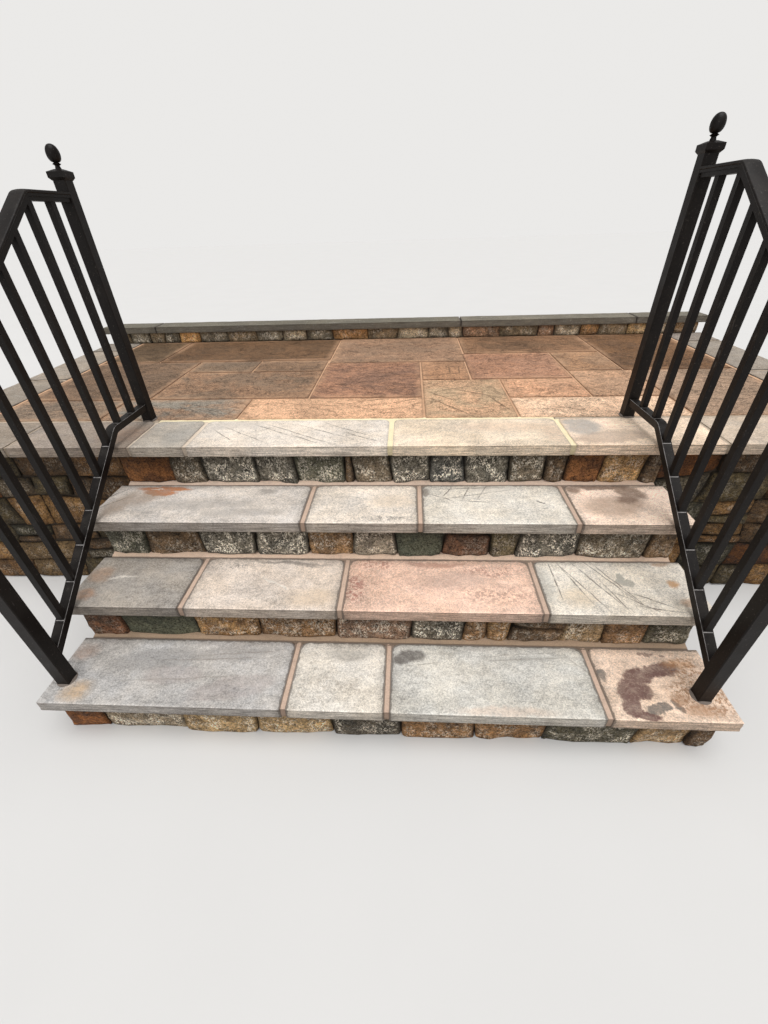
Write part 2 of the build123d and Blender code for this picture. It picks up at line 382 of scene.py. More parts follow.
def stained(tree, colour, place, marks, medium, fine):
    # stains on the tops, ragged at their edges and thinner where the stone is rough
    top = facing(tree)
    ragged = wandered(tree, place, (11, 0.022), (55, 0.012), (150, 0.006))
    thin = spread(tree, fine, 0.36, 0.48, 0.70, 1.0)
    thin = times(tree, spread(tree, medium, 0.30, 0.60, 0.65, 1.0), thin)
    speckle = spread(tree, cloudy(tree, place, 70, 4, 0.7), 0.48, 0.56)
    for mark in marks:
        mask = times(tree, spotMask(tree, ragged, mark["spots"]), thin, top, mark["strength"])
        if mark["speckled"]:
            mask = times(tree, mask, speckle)
        tone = lightened(tree, plainTone(tree, mark["tone"]), [(medium, 0.9), (fine, 0.9)])
        colour = blend(tree, mask, colour, tone)
    return colour


def scratched(tree, colour, place, strokes, strength):
    wavering = wandered(tree, place, (14, 0.007))
    lines = strokeMask(tree, wavering, strokes, slabLook["strokeWidth"])
    faint = spread(tree, cloudy(tree, place, 30, 4, 0.7), 0.38, 0.55, 0.25, 1.0)
    return cover(tree, colour, times(tree, lines, faint), strength, slabLook["stroke"])


def bordered(tree, colour, place, strength):
    # a stained border beside the mortar and a fainter one round it
    rim = shaken(tree, readValue(tree, "rim"), cloudy(tree, place, 38, 5, 0.7), 0.022)
    border = spread(tree, rim, slabLook["borderWidth"] * 1.25, slabLook["borderWidth"] * 0.85)
    halo = spread(tree, rim, 0.040, 0.006)
    colour = cover(tree, colour, halo, strength * 0.35, slabLook["border"])
    return cover(tree, colour, border, strength, slabLook["border"])


def makeSlabFinish(name, marks=(), strokes=(), rimStain=0.70, shade=0.74, drawn=0.95):
    # strength of the border, how light the fronts are (a painted shade on the upright faces beside
    # the tops), and strength of the strokes
    material, tree, shader = startMaterial(name)
    place = objectPlace(tree)
    broad = cloudy(tree, stretch(tree, place, (1, 1.4, 1)), 3.6, 7, 0.62, 0.5)
    medium = cloudy(tree, stretch(tree, place, (1, 1.5, 1.5)), 24, 7, 0.72)
    fine = cloudy(tree, place, 120, 4, 0.8)
    # hue drifts between a cooler and a warmer stone
    hue = cloudy(tree, stretch(tree, place, (1, 1.3, 1), 20), 5.5, 6, 0.65)
    hue = blend(tree, spread(tree, hue, 0.36, 0.64), slabLook["cool"], slabLook["warm"])
    colour = lightened(tree, blend(tree, 1.0, readTone(tree), hue, "MULTIPLY"), [
        (broad, slabLook["broad"]), (medium, slabLook["mottle"]),
        (fine, slabLook["sand"]), (grainy(tree, place, 240), slabLook["grains"]),
    ])
    colour, cleft = bedded(tree, colour, place)
    if marks:
        colour = stained(tree, colour, place, marks, medium, fine)
    if strokes:
        colour = scratched(tree, colour, place, strokes, drawn)
    colour = bordered(tree, colour, place, rimStain)
    # upright faces are darkened by a painted shade, take an even browner tone and show the bedding
    # as level lines
    lines = cloudy(tree, stretch(tree, place, (1, 1, 24)), 9, 7, 0.75, 0.25)
    sides = brighten(tree, colour, spread(tree, lines, 0.36, 0.62, shade * 0.50, shade * 1.26))
    sides = cover(tree, sides, 1.0, *slabLook["dirt"])
    # painted highlight: the front arris of a tread is made lighter
    paintedHighlight = spread(tree, readValue(tree, "nose"), 0.012, 0.002, 1.0, slabLook["paintedHighlight"])
    colour = blend(tree, facing(tree), sides, brighten(tree, colour, paintedHighlight))
    heights = [(broad, 1.4), (medium, 1.1), (fine, 0.7), (cleft, -0.1), (lines, 0.5)]
    dress(tree, shader, colour, medium, (0.66, 0.88), heights, 0.0060, 0.9)
    return material


rubbleLook = {
    "grains": 1.45,       # contrast of the grains, the sand and the chips
    "sand": 1.90,
    "chips": 2.60,
    "paintedHeadShade": 0.44,        # how dark the heads of the riser stones are painted, a painted shade under the tread above
    "crystal": (0.9, (0.88, 0.81, 0.68)),
    "edge": (0.85, (0.030, 0.023, 0.016)),
}


def makeRubbleFinish(name):
    material, tree, shader = startMaterial(name)
    place = objectPlace(tree)
    rim = readValue(tree, "rim")
    patch = spread(tree, cloudy(tree, place, 13, 6, 0.65, 0.6), 0.44, 0.58)
    colour = blend(tree, patch, readTone(tree), readTone(tree, "second"))
    medium = cloudy(tree, place, 34, 6, 0.75)
    fine = cloudy(tree, place, 130, 4, 0.8)
    coarse = times(tree, grainy(tree, place, 120), 0.4)
    grains = reckon(tree, "MULTIPLY_ADD", grainy(tree, place, 230), 0.6, coarse)
    # pale crystals in drifts, drawn out along the split; thick in the middle of the face and
    # thinning towards the joints, a painted highlight on the face
    split = stretch(tree, wandered(tree, place, (8, 0.06)), (1, 1, 0.40))
    drifts = spread(tree, cloudy(tree, place, 15, 5, 0.7), 0.44, 0.57, 0.10, 1.0)
    crystals = spread(tree, grainy(tree, split, 270), 0.42, 0.66)
    middle = spread(tree, rim, 0.75, 0.0)
    crystals = times(tree, crystals, middle, drifts, readValue(tree, "fleck"))
    colour = cover(tree, colour, crystals, *rubbleLook["crystal"])
    colour = lightened(tree, colour, [
        (medium, rubbleLook["chips"]), (fine, rubbleLook["sand"]), (grains, rubbleLook["grains"]),
    ])
    # brighter in the middle of the face and darker towards the joints: a painted highlight and
    # shade on the rounded stone
    colour = brighten(tree, colour, spread(tree, rim, 0.0, 0.95, 1.24, 0.72))
    # painted shade: lighter towards the foot of a riser stone, darker towards its head under the
    # nosing of the tread above
    head = spread(tree, readValue(tree, "head"), 0.2, 1.0, 1.16, rubbleLook["paintedHeadShade"])
    colour = brighten(tree, colour, head)
    edge = spread(tree, shaken(tree, rim, medium, 0.35), 0.88, 1.02)
    colour = cover(tree, colour, edge, *rubbleLook["edge"])
    heights = [(cloudy(tree, split, 22, 6, 0.75), 1.7), (medium, 1.1), (grains, 0.12)]
    dress(tree, shader, colour, medium, (0.60, 0.92), heights, 0.016, 1.0, 0.30)
    return material


mortarLook = {
    "stain": (0.20, (0.19, 0.15, 0.12)),
    "margin": (0.70, (0.12, 0.095, 0.075)),    # dark line along the stone
    "upright": 0.58,      # how light the upright ends of the joints are, a painted shade with some dirt
}


def makeMortarFinish(name, tone=None):
    # without a tone of its own it takes that of the pieces, and has dark margins
    material, tree, shader = startMaterial(name)
    place = objectPlace(tree)
    sand = cloudy(tree, place, 220, 4, 0.85)
    patch = cloudy(tree, place, 9, 6, 0.7)
    colour = plainTone(tree, tone) if tone else readTone(tree)
    colour = lightened(tree, colour, [(patch, 0.5), (sand, 1.0)])
    stain = spread(tree, cloudy(tree, place, 16, 6, 0.75), 0.55, 0.66)
    colour = cover(tree, colour, stain, *mortarLook["stain"])
    if not tone:
        # upright ends of the joints are darker: a painted shade, with some dirt
        ends = spread(tree, facing(tree), 0.0, 1.0, mortarLook["upright"], 1.0)
        colour = brighten(tree, colour, ends)
        rim = shaken(tree, readValue(tree, "rim"), cloudy(tree, place, 60, 4, 0.7), 0.003)
        colour = cover(tree, colour, spread(tree, rim, 0.0130, 0.0118), *mortarLook["margin"])
    heights = [(sand, 0.6), (cloudy(tree, place, 60, 4, 0.6), 1.0), (patch, 1.2)]
    dress(tree, shader, colour, sand, (0.80, 0.95), heights, 0.005, 0.9)
    return material


flagLook = {
    "flake": (0.26, (0.14, 0.085, 0.055)),     # edges of thin layers that have split off
    "dirt": (0.35, (0.10, 0.065, 0.04)),
    "stroke": (0.65, (0.15, 0.10, 0.06)),
    "sand": (1.0, (0.66, 0.40, 0.24)),         # washed over the flags beside their joints
    "border": (0.34, (0.12, 0.07, 0.045)),
    "strokeWidth": 0.0055,
}


def makeFlagFinish(name, strokes):
    material, tree, shader = startMaterial(name)
    place = objectPlace(tree)
    layers = cloudy(tree, stretch(tree, place, (1, 1.3, 1), -6), 3.4, 8, 0.66, 0.8)
    broad = cloudy(tree, place, 2.6, 5, 0.6)
    medium = cloudy(tree, stretch(tree, place, (1, 1.5, 1), 6), 24, 8, 0.78)
    fine = cloudy(tree, place, 140, 4, 0.8)
    colour = blend(tree, spread(tree, layers, 0.40, 0.60), readTone(tree), readTone(tree, "second"))
    colour = lightened(tree, colour, [
        (broad, 1.2), (layers, 1.1), (medium, 2.2), (fine, 2.2), (grainy(tree, place, 170), 0.7),
    ])
    flake = cloudy(tree, stretch(tree, place, (1, 1.8, 1), 14), 3.4, 5, 0.6, 1.2)
    flake = spread(tree, awayFrom(tree, flake, 0.5), 0.010, 0.0)
    clouds = cloudy(tree, place, 30, 5, 0.7)
    dirt = spread(tree, clouds, 0.60, 0.68)
    lines = strokeMask(tree, wandered(tree, place, (12, 0.012)), strokes, flagLook["strokeWidth"])
    rim = shaken(tree, readValue(tree, "rim"), clouds, 0.030)
    sandy = spread(tree, broad, 0.42, 0.56, 0.10, 0.42)
    sandy = times(tree, spread(tree, rim, 0.055, 0.006), sandy)
    border = spread(tree, rim, 0.011, 0.003)
    for mask, layer in (
        (flake, "flake"), (dirt, "dirt"), (lines, "stroke"), (sandy, "sand"), (border, "border"),
    ):
        colour = cover(tree, colour, mask, *flagLook[layer])
    heights = [(layers, 2.4), (medium, 1.0), (fine, 0.4), (flake, -0.8)]
    dress(tree, shader, colour, medium, (0.60, 0.85), heights, 0.009, 0.9, 0.22)
    return material


ironLook = {
    "paint": (0.0082, 0.0062, 0.0055),
    "dust": (0.060, 0.052, 0.045),
    "speck": (0.20, (0.25, 0.22, 0.19)),
    "scuff": (0.35, (0.16, 0.155, 0.15)),      # pale streaks along the uprights
    "paintedHighlight": (0.36, 0.34, 0.33),
    # where the painted highlight along a rail's arris ends, and the one at the foot of a bar, both
    # ways
    "arris": (0.00216, 0.00144),
    "foot": (0.00336, 0.00224),
    "barReach": (0.0165, 0.0155),
}


def makeIronFinish(name, arris=None, foot=None):
    # arris: x of an edge that takes a painted highlight; foot: middle x, y of the first bar and the
    # distance between bars
    material, tree, shader = startMaterial(name)
    place = objectPlace(tree)
    patch = cloudy(tree, place, 11, 6, 0.7)
    height = upwardness(tree, "Normal")
    upward = reckon(tree, "MULTIPLY_ADD", spread(tree, height, 0.2, 0.9), 0.16, 0.13)
    dust = times(tree, spread(tree, patch, 0.42, 0.68), upward)
    colour = blend(tree, dust, ironLook["paint"], ironLook["dust"])
    speck = spread(tree, cloudy(tree, place, 160, 3, 0.6), 0.64, 0.70)
    colour = cover(tree, colour, speck, *ironLook["speck"])
    scuff = cloudy(tree, stretch(tree, place, (1, 1, 0.10), 3), 60, 4, 0.7)
    scuff = times(tree, spread(tree, scuff, 0.60, 0.68), spread(tree, patch, 0.50, 0.62))
    colour = cover(tree, colour, scuff, *ironLook["scuff"])
    if foot:
        middle, firstBar, pitch = foot
        axes = put(tree, "SeparateXYZ", {0: place})
        x, y = axes.outputs["X"], axes.outputs["Y"]
        # painted highlights: a thin light line along the arris and one at the foot of each bar, on
        # faces that look up
        line = spread(tree, awayFrom(tree, x, arris), *ironLook["arris"])
        along = reckon(tree, "DIVIDE", reckon(tree, "SUBTRACT", firstBar, y), pitch)
        ahead = times(tree, reckon(tree, "FRACT", along), pitch)
        beside = spread(tree, awayFrom(tree, x, middle), *ironLook["barReach"])
        weld = times(tree, spread(tree, ahead, *ironLook["foot"]), beside)
        paintedHighlight = spread(tree, cloudy(tree, place, 45, 4, 0.7), 0.36, 0.55, 0.35, 0.9)
        lines = fold(tree, "MAXIMUM", (line, weld))
        paintedHighlight = times(tree, lines, spread(tree, height, 0.5, 0.7), paintedHighlight)
        colour = blend(tree, paintedHighlight, colour, ironLook["paintedHighlight"])
    heights = [(cloudy(tree, place, 130, 3, 0.6), 0.5), (patch, 1.0)]
    dress(tree, shader, colour, patch, (0.36, 0.54), heights, 0.0008, 0.6, 0.16)
    return material


# scratches in one flag: x, y, half length, turn
flagStrokes = [
    (0.449, 0.058, 0.270, -32), (0.393, 0.106, 0.162, 23), (0.340, -0.172, 0.147, -52),
    (0.292, -0.006, 0.116, -46), (0.600, -0.120, 0.120, -70), (0.385, 0.465, 0.075, 90),
    (0.447, 0.465, 0.075, 90), (0.416, 0.390, 0.032, 0), (0.416, 0.540, 0.032, 0),
]
mortarFinish = makeMortarFinish("mortar")
masonryFinish = makeMortarFinish("masonry", (0.40, 0.31, 0.24))
rubbleFinish = makeRubbleFinish("rubble")
flagFinish = makeFlagFinish("flagging", flagStrokes)
ironFinish = makeIronFinish("blackIron")
print("finishes made")


# bluestone slabs: the rows of treads and the edge of the landing
jointWidth = 0.018
treadRows = {
    1: {
        "joints": (-0.335, 0.045, 0.830),
        "front": 0.93,       # how light the fronts are beside the tops, a painted shade
        "drawn": 0.45,       # strength of the thin dark lines
        "band": (0.46, 0.325, 0.22),
        "tones": (
            (0.52, 0.495, 0.475), (0.76, 0.70, 0.62), (0.66, 0.63, 0.575), (0.88, 0.67, 0.52),
        ),
    },
    2: {
        "joints": (-0.785, -0.146, 0.648),
        "front": 0.70,
        "drawn": 0.95,
        "band": (0.82, 0.605, 0.455),
        "tones": (
            (0.42, 0.375, 0.33), (0.73, 0.62, 0.53), (0.86, 0.585, 0.45), (0.88, 0.795, 0.685),
        ),
    },
    3: {
        "joints": (-0.322, 0.172, 0.815),
        "front": 0.57,
        "drawn": 0.95,
        "band": (0.80, 0.61, 0.48),
        "tones": (
            (0.665, 0.60, 0.545), (0.845, 0.75, 0.655), (0.80, 0.735, 0.645), (0.97, 0.76, 0.615),
        ),
    },
}
edgeRow = {
    "joints": (-1.750, -1.158, -0.895, 0.040, 0.832, 1.475),
    "gaps": (0.010, 0.008, 0.014, 0.018, 0.018, 0.010),
    # tone of the mortar in each joint: yellow in the middle, paler and greyed towards the ends
    "mortar": ("toneDull", "tonePale", "tonePale", "toneEdge", "toneEdge", "toneDull"),
    "border": 0.20,              # strength of the stain beside the joints
    "front": 0.97,
    # the two slabs at the left end are dark: a browner, dirtier stone under a painted shade
    "tones": (
        (0.33, 0.27, 0.215), (0.37, 0.30, 0.245), (0.54, 0.48, 0.415), (0.82, 0.72, 0.62),
        (0.84, 0.69, 0.53), (0.97, 0.76, 0.58), (0.62, 0.50, 0.39),
    ),
}
maroon = (0.165, 0.090, 0.075)
smoke = (0.15, 0.135, 0.12)
chalk = (0.76, 0.70, 0.62)


def stain(strength, tone, *spots, speckled=False):
    # each spot: x, y, half length, half width, turn and, where it isn't the usual one, softness
    return {"strength": strength, "tone": tone, "spots": spots, "speckled": speckled}


treadMarks = {
    1: [
        stain(0.28, (0.58, 0.38, 0.25), (1.10, -1.34, 0.18, 0.11, 0, 1.2)),
        stain(0.45, (0.40, 0.22, 0.13), (-1.225, -1.275, 0.050, 0.035, 0, 1.2)),
        stain(0.7, (0.60, 0.40, 0.22), (-1.150, -1.450, 0.050, 0.040, 20, 1.2)),
        stain(
            0.45, (0.27, 0.25, 0.235), (-0.90, -1.30, 0.18, 0.05, 8),
            (-0.62, -1.27, 0.20, 0.035, 4),
        ),
        stain(
            0.35, (0.36, 0.29, 0.27), (-0.55, -1.42, 0.16, 0.05, 12), (-0.80, -1.37, 0.12, 0.04, 0),
        ),
        stain(
            1.0, smoke, (0.128, -1.262, 0.060, 0.028, 8, 0.7), (0.10, -1.275, 0.040, 0.022, 0, 0.7),
        ),
        stain(0.5, (0.72, 0.55, 0.43), (0.467, -1.487, 0.16, 0.018, 0, 0.9)),
        stain(
            0.45, (0.30, 0.25, 0.20), (-0.15, -1.40, 0.14, 0.030, -10, 0.9),
            (-0.25, -1.45, 0.07, 0.02, -20, 0.9), speckled=True,
        ),
        stain(0.5, (0.31, 0.29, 0.26), (-0.12, -1.262, 0.09, 0.030, 0, 1.0)),
        stain(0.4, (0.36, 0.35, 0.32), (0.62, -1.262, 0.16, 0.014, 3, 1.0)),
        stain(0.9, smoke, (0.862, -1.325, 0.022, 0.024, 0)),
        stain(
            1.0, maroon, (1.075, -1.298, 0.085, 0.030, 10), (0.995, -1.330, 0.062, 0.036, 25),
            (0.935, -1.388, 0.055, 0.045, 60), (0.985, -1.388, 0.036, 0.038, 0),
            (0.925, -1.442, 0.040, 0.034, 80), (0.955, -1.478, 0.055, 0.020, -12),
        ),
        stain(
            0.92, smoke, (1.010, -1.457, 0.036, 0.015, 6), (1.035, -1.449, 0.026, 0.016, 20),
            (1.080, -1.442, 0.026, 0.011, -62),
        ),
        stain(0.55, (0.55, 0.27, 0.10), (1.16, -1.272, 0.055, 0.020, 0, 0.9)),
        stain(
            0.65, (0.36, 0.18, 0.085), (1.165, -1.462, 0.075, 0.026, 0, 0.9),
            (1.10, -1.42, 0.03, 0.02, 0, 0.9),
        ),
        stain(
            0.85, (0.36, 0.18, 0.085), (1.22, -1.420, 0.080, 0.070, 0, 0.9),
            (1.18, -1.30, 0.06, 0.07, 0, 0.9), (1.13, -1.40, 0.06, 0.06, 0, 0.9), speckled=True,
        ),
        stain(0.7, maroon, (1.06, -1.232, 0.030, 0.008, 0), (1.12, -1.236, 0.012, 0.006, 0)),
    ],
    2: [
        stain(0.5, (0.50, 0.29, 0.17), (-1.222, -1.03, 0.050, 0.045, 0, 0.9)),
        stain(0.55, (0.48, 0.24, 0.12), (-1.215, -1.15, 0.040, 0.028, 0, 0.9)),
        stain(0.85, chalk, (-1.115, -1.047, 0.058, 0.005, 0)),
        stain(0.8, chalk, (-0.433, -1.070, 0.075, 0.004, -28)),
        stain(
            0.7, smoke, (-0.40, -0.944, 0.17, 0.009, -3, 0.9),
            (-0.33, -0.958, 0.06, 0.007, -8, 0.9),
        ),
        stain(0.7, smoke, (-0.66, -0.966, 0.12, 0.016, 0, 0.9), speckled=True),
        stain(0.5, (0.74, 0.56, 0.38), (-0.27, -1.150, 0.10, 0.050, 0, 1.0)),
        stain(0.8, (0.42, 0.18, 0.13), (-0.02, -0.948, 0.080, 0.030, 0, 0.9), speckled=True),
        stain(
            0.7, (0.42, 0.22, 0.16), (0.25, -0.948, 0.11, 0.012, 0, 0.9),
            (0.16, -0.938, 0.05, 0.010, -10, 0.9),
        ),
        stain(1.0, (0.38, 0.17, 0.13), (-0.100, -1.09, 0.045, 0.080, 0, 0.9), speckled=True),
        stain(0.8, (0.42, 0.21, 0.16), (0.47, -0.985, 0.11, 0.028, 0, 0.9), speckled=True),
        stain(0.5, (0.48, 0.36, 0.30), (0.32, -1.04, 0.16, 0.05, 0, 1.0)),
        stain(0.7, (0.40, 0.23, 0.18), (0.47, -1.12, 0.14, 0.045, 0, 1.0), speckled=True),
        stain(0.35, (0.50, 0.30, 0.23), (0.20, -1.02, 0.30, 0.10, 0, 1.0), speckled=True),
        stain(
            0.8, (0.32, 0.31, 0.27), (0.985, -1.020, 0.035, 0.016, 55),
            (1.01, -1.045, 0.030, 0.020, 0),
        ),
        stain(0.85, (0.58, 0.29, 0.10), (1.186, -1.048, 0.022, 0.020, 0, 0.8)),
        stain(
            0.6, (0.52, 0.27, 0.12), (1.19, -0.93, 0.035, 0.012, 0, 0.9),
            (1.20, -1.150, 0.035, 0.022, 0, 0.9),
        ),
        stain(0.5, (0.68, 0.53, 0.36), (0.785, -1.13, 0.075, 0.040, 0, 1.0)),
        stain(0.5, (0.42, 0.43, 0.40), (0.685, -1.06, 0.030, 0.10, 0, 1.0)),
    ],
    3: [
        stain(
            1.0, (0.50, 0.20, 0.08), (-1.04, -0.664, 0.13, 0.022, -3, 0.5),
            (-1.05, -0.694, 0.08, 0.022, -8, 0.5),
        ),
        stain(0.7, chalk, (-1.07, -0.664, 0.035, 0.006, 0)),
        stain(
            0.65, (0.34, 0.24, 0.165), (-1.19, -0.79, 0.050, 0.10, -20, 1.0),
            (-1.10, -0.74, 0.05, 0.07, -40, 1.0),
        ),
        stain(0.65, (0.27, 0.24, 0.21), (-0.53, -0.680, 0.045, 0.018, 0, 0.9)),
        stain(
            0.5, (0.36, 0.335, 0.31), (-0.78, -0.79, 0.25, 0.040, 3, 1.0),
            (-0.60, -0.85, 0.18, 0.03, 0, 1.0),
        ),
        stain(0.7, smoke, (0.03, -0.888, 0.11, 0.016, 0, 0.9), speckled=True),
        stain(0.45, (0.78, 0.62, 0.45), (0.06, -0.76, 0.10, 0.05, 0, 1.0)),
        stain(0.85, (0.23, 0.20, 0.17), (0.202, -0.690, 0.022, 0.030, 0, 0.6)),
        stain(0.85, smoke, (0.69, -0.76, 0.024, 0.006, -35), (0.70, -0.81, 0.018, 0.004, 20)),
        stain(
            0.75, (0.38, 0.26, 0.185), (0.99, -0.80, 0.125, 0.075, 0, 0.9),
            (1.06, -0.77, 0.07, 0.06, 0, 0.9),
        ),
        stain(
            0.82, (0.18, 0.11, 0.075), (0.99, -0.642, 0.16, 0.018, 0, 0.7),
            (1.105, -0.690, 0.070, 0.044, -20, 0.45), (1.07, -0.742, 0.05, 0.035, 20, 0.9),
            (0.865, -0.665, 0.035, 0.030, -30, 0.9),
        ),
        stain(0.8, chalk, (0.50, -0.666, 0.095, 0.032, 0, 0.7)),
    ],
}
edgeMarks = [
    stain(
        0.8, (0.42, 0.40, 0.375), (0.93, -0.45, 0.075, 0.09, -25, 0.6),
        (0.89, -0.39, 0.04, 0.03, 0, 0.6),
    ),
    stain(0.65, (0.42, 0.31, 0.24), (1.03, -0.555, 0.17, 0.06, 10, 0.5)),
    stain(
        0.40, (0.60, 0.40, 0.28), (0.58, -0.44, 0.22, 0.06, 0, 1.0),
        (0.78, -0.50, 0.05, 0.10, 0, 1.0),
    ),
    stain(0.5, (0.42, 0.26, 0.17), (-1.25, -0.50, 0.10, 0.09, 0, 1.0)),
    stain(0.5, (0.48, 0.44, 0.40), (-0.74, -0.40, 0.13, 0.05, 0, 1.0)),
    stain(0.5, (0.38, 0.36, 0.325), (-0.98, -0.50, 0.06, 0.12, 0, 1.0)),
]
# thin dark lines: x, y, half length, turn
treadStrokes = {
    1: [
        (-0.664, -1.294, 0.266, 3), (-0.559, -1.263, 0.174, 5), (-0.768, -1.386, 0.235, 4),
        (0.551, -1.243, 0.182, 5), (0.596, -1.263, 0.189, 4), (0.785, -1.288, 0.081, -49),
        (0.170, -1.298, 0.080, 8),
    ],
    2: [
        (0.725, -1.033, 0.111, -90), (0.824, -1.061, 0.154, -65), (0.799, -1.044, 0.101, -73),
        (0.884, -1.045, 0.140, -63), (0.944, -1.034, 0.134, -59), (0.972, -1.054, 0.150, -63),
        (0.934, -1.115, 0.089, -72), (1.007, -1.146, 0.102, -36), (1.061, -1.131, 0.072, -29),
        (1.079, -1.182, 0.075, -10),
    ],
    3: [
        (0.382, -0.654, 0.161, 3), (0.418, -0.709, 0.161, 14), (0.293, -0.696, 0.067, -118),
        (0.382, -0.696, 0.064, -112), (0.455, -0.688, 0.057, -116), (0.273, -0.734, 0.061, -28),
        (0.414, -0.763, 0.065, -7), (-1.258, -0.708, 0.067, 51), (-1.225, -0.775, 0.060, 48),
    ],
}
edgeStrokes = [
    (-0.661, -0.506, 0.139, -35), (-0.530, -0.463, 0.131, -33), (-0.402, -0.502, 0.203, -32),
    (-0.273, -0.484, 0.156, -29), (-0.154, -0.469, 0.129, -33), (-0.092, -0.544, 0.099, -30),
    (-0.753, -0.522, 0.089, -44), (-0.360, -0.561, 0.090, -33),
]
slabShape = {
    "cell": 0.014,
    "sideCell": 0.024,
    "sillCell": 0.020,
    "layers": 3,
    "ease": 0.0030,
    "corner": 0.038,     # rounding beside the mortar
    "foot": 0.004,       # height of the sides that stays straight
    # noises that take the top and the sides away: size, depth, strength
    "cleft": ((0.16, 3, 0.0030), (0.040, 3, 0.0018)),
    "bow": ((0.10, 2, 0.0030), (0.022, 2, 0.0021)),
}


def planOf(low, high, freeSides):
    # middle and half size of a slab in plan; a side without mortar is moved far away
    far = 10.0
    start = np.array([low[0] - far * ("left" in freeSides), low[1] - far * ("near" in freeSides)])
    end = np.array([high[0] + far * ("right" in freeSides), high[1] + far * ("far" in freeSides)])
    return (start + end) / 2, (end - start) / 2


def rimDistance(points, low, high, freeSides, corner):
    # distance from the mortared sides of a slab, round at the corners
    middle, half = planOf(low, high, freeSides)
    away = np.abs(points[:, :2] - middle) - half + corner
    outside = np.linalg.norm(np.maximum(away, 0), axis=1)
    return corner - outside - np.minimum(away.max(axis=1), 0)


def roundCorners(points, low, high, freeSides, corner):
    middle, half = planOf(low, high, freeSides)
    away = np.abs(points[:, :2] - middle) - half + corner
    chosen = (away > 0).all(axis=1)
    reach = away[chosen]
    pulled = reach * (reach.max(axis=1) / np.linalg.norm(reach, axis=1))[:, None]
    points[chosen, :2] -= np.sign(points[chosen, :2] - middle) * (reach - pulled)
    return points


def addSlab(low, high, tone, freeSides, cell=slabShape["cell"]):
    ease, corner = slabShape["ease"], slabShape["corner"]
    slab = addBlock(low, high, cell, slabShape["layers"], ease)
    points = roundCorners(pointsOf(slab), low, high, freeSides, corner)
    movePoints(slab, points)
    storeTone(slab, tone)
    storeValue(slab, "rim", rimDistance(points, low, high, freeSides, corner))
    storeValue(slab, "nose", points[:, 1] - low[1] if "near" in freeSides else 1.0)
    height = points[:, 2]
    groupPoints(slab, "top", height > high[2] - ease * 1.01)
    middle = (height > low[2] + slabShape["foot"]) & (height < high[2] - ease * 0.5)
    groupPoints(slab, "sides", middle)
    return slab


def gapsOf(row):
    return row.get("gaps", (jointWidth,) * len(row["joints"]))


def spansBetween(start, end, row):
    # where each slab of a row starts and ends
    joints = list(zip(row["joints"], gapsOf(row)))
    starts = [start] + [place + gap / 2 for place, gap in joints]
    ends = [place - gap / 2 for place, gap in joints] + [end]
    return list(zip(starts, ends))


def layRow(name, low, high, row, finish, nodes, axis=0, freeSides=None, cell=slabShape["cell"]):
    # slabs along x or y; unless told so, a row is free of mortar at its front and both ends
    slabs = []
    spans = spansBetween(low[axis], high[axis], row)
    for number, (span, tone) in enumerate(zip(spans, row["tones"])):
        start, end = list(low), list(high)
        start[axis], end[axis] = span
        first, last = number == 0, number == len(spans) - 1
        sides = freeSides or ["near"] + ["left"] * first + ["right"] * last
        slabs.append(addSlab(start, end, tone, sides, cell))
    joined = joinAs(name, slabs)
    roughen(joined, slabShape["cleft"], "top")
    roughen(joined, slabShape["bow"], "sides")
    finishPiece(joined, finish, nodes)


for step, row in treadRows.items():
    marks, strokes = treadMarks[step], treadStrokes[step]
    finish = makeSlabFinish(
        f"bluestoneTread{step}", marks, strokes, shade=row["front"], drawn=row["drawn"],
    )
    layRow(f"treadSlabs{step}", *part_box(f"tread_{step}"), row, finish, (f"tread_{step}",))
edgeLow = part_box("edge_slab_left")[0]
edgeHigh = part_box("edge_slab_right")[1]
finish = makeSlabFinish(
    "bluestoneEdge", edgeMarks, edgeStrokes, edgeRow["border"], edgeRow["front"],
)
edgeNodes = ("landing_edge", "edge_slab_left", "edge_slab_right")
layRow("edgeSlabs", edgeLow, edgeHigh, edgeRow, finish, edgeNodes)
print("treads and landing edge laid")

# slabs on the side walls, joints measured from their fronts, and the sill
sideRows = {
    "joints": (0.690, 1.420),
    "left": ((0.30, 0.25, 0.20), (0.36, 0.30, 0.24), (0.27, 0.23, 0.19)),
    "right": ((0.42, 0.34, 0.27), (0.33, 0.28, 0.23), (0.30, 0.25, 0.21)),
}
sill = {
    "joints": (-1.980, 0.540, 1.900),
    "gaps": (0.004, 0.004, 0.004),
    "tones": (
        (0.150, 0.134, 0.100), (0.155, 0.138, 0.102), (0.190, 0.168, 0.126), (0.165, 0.146, 0.110),
    ),
}
plainSlabFinish = makeSlabFinish("bluestonePlain")
for side in ("left", "right"):
    low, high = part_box(f"side_slabs_{side}")
    row = {"joints": [low.y + along for along in sideRows["joints"]], "tones": sideRows[side]}
    layRow(
        f"sideSlabs{side.capitalize()}", low, high, row, plainSlabFinish, (f"side_slabs_{side}",),
        1, (side,), slabShape["sideCell"],
    )
layRow(
    "sillSlabs", *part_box("threshold_sill"), sill, plainSlabFinish, ("threshold_sill",),
    0, ("near", "far"), slabShape["sillCell"],
)
print("side slabs and sill laid")


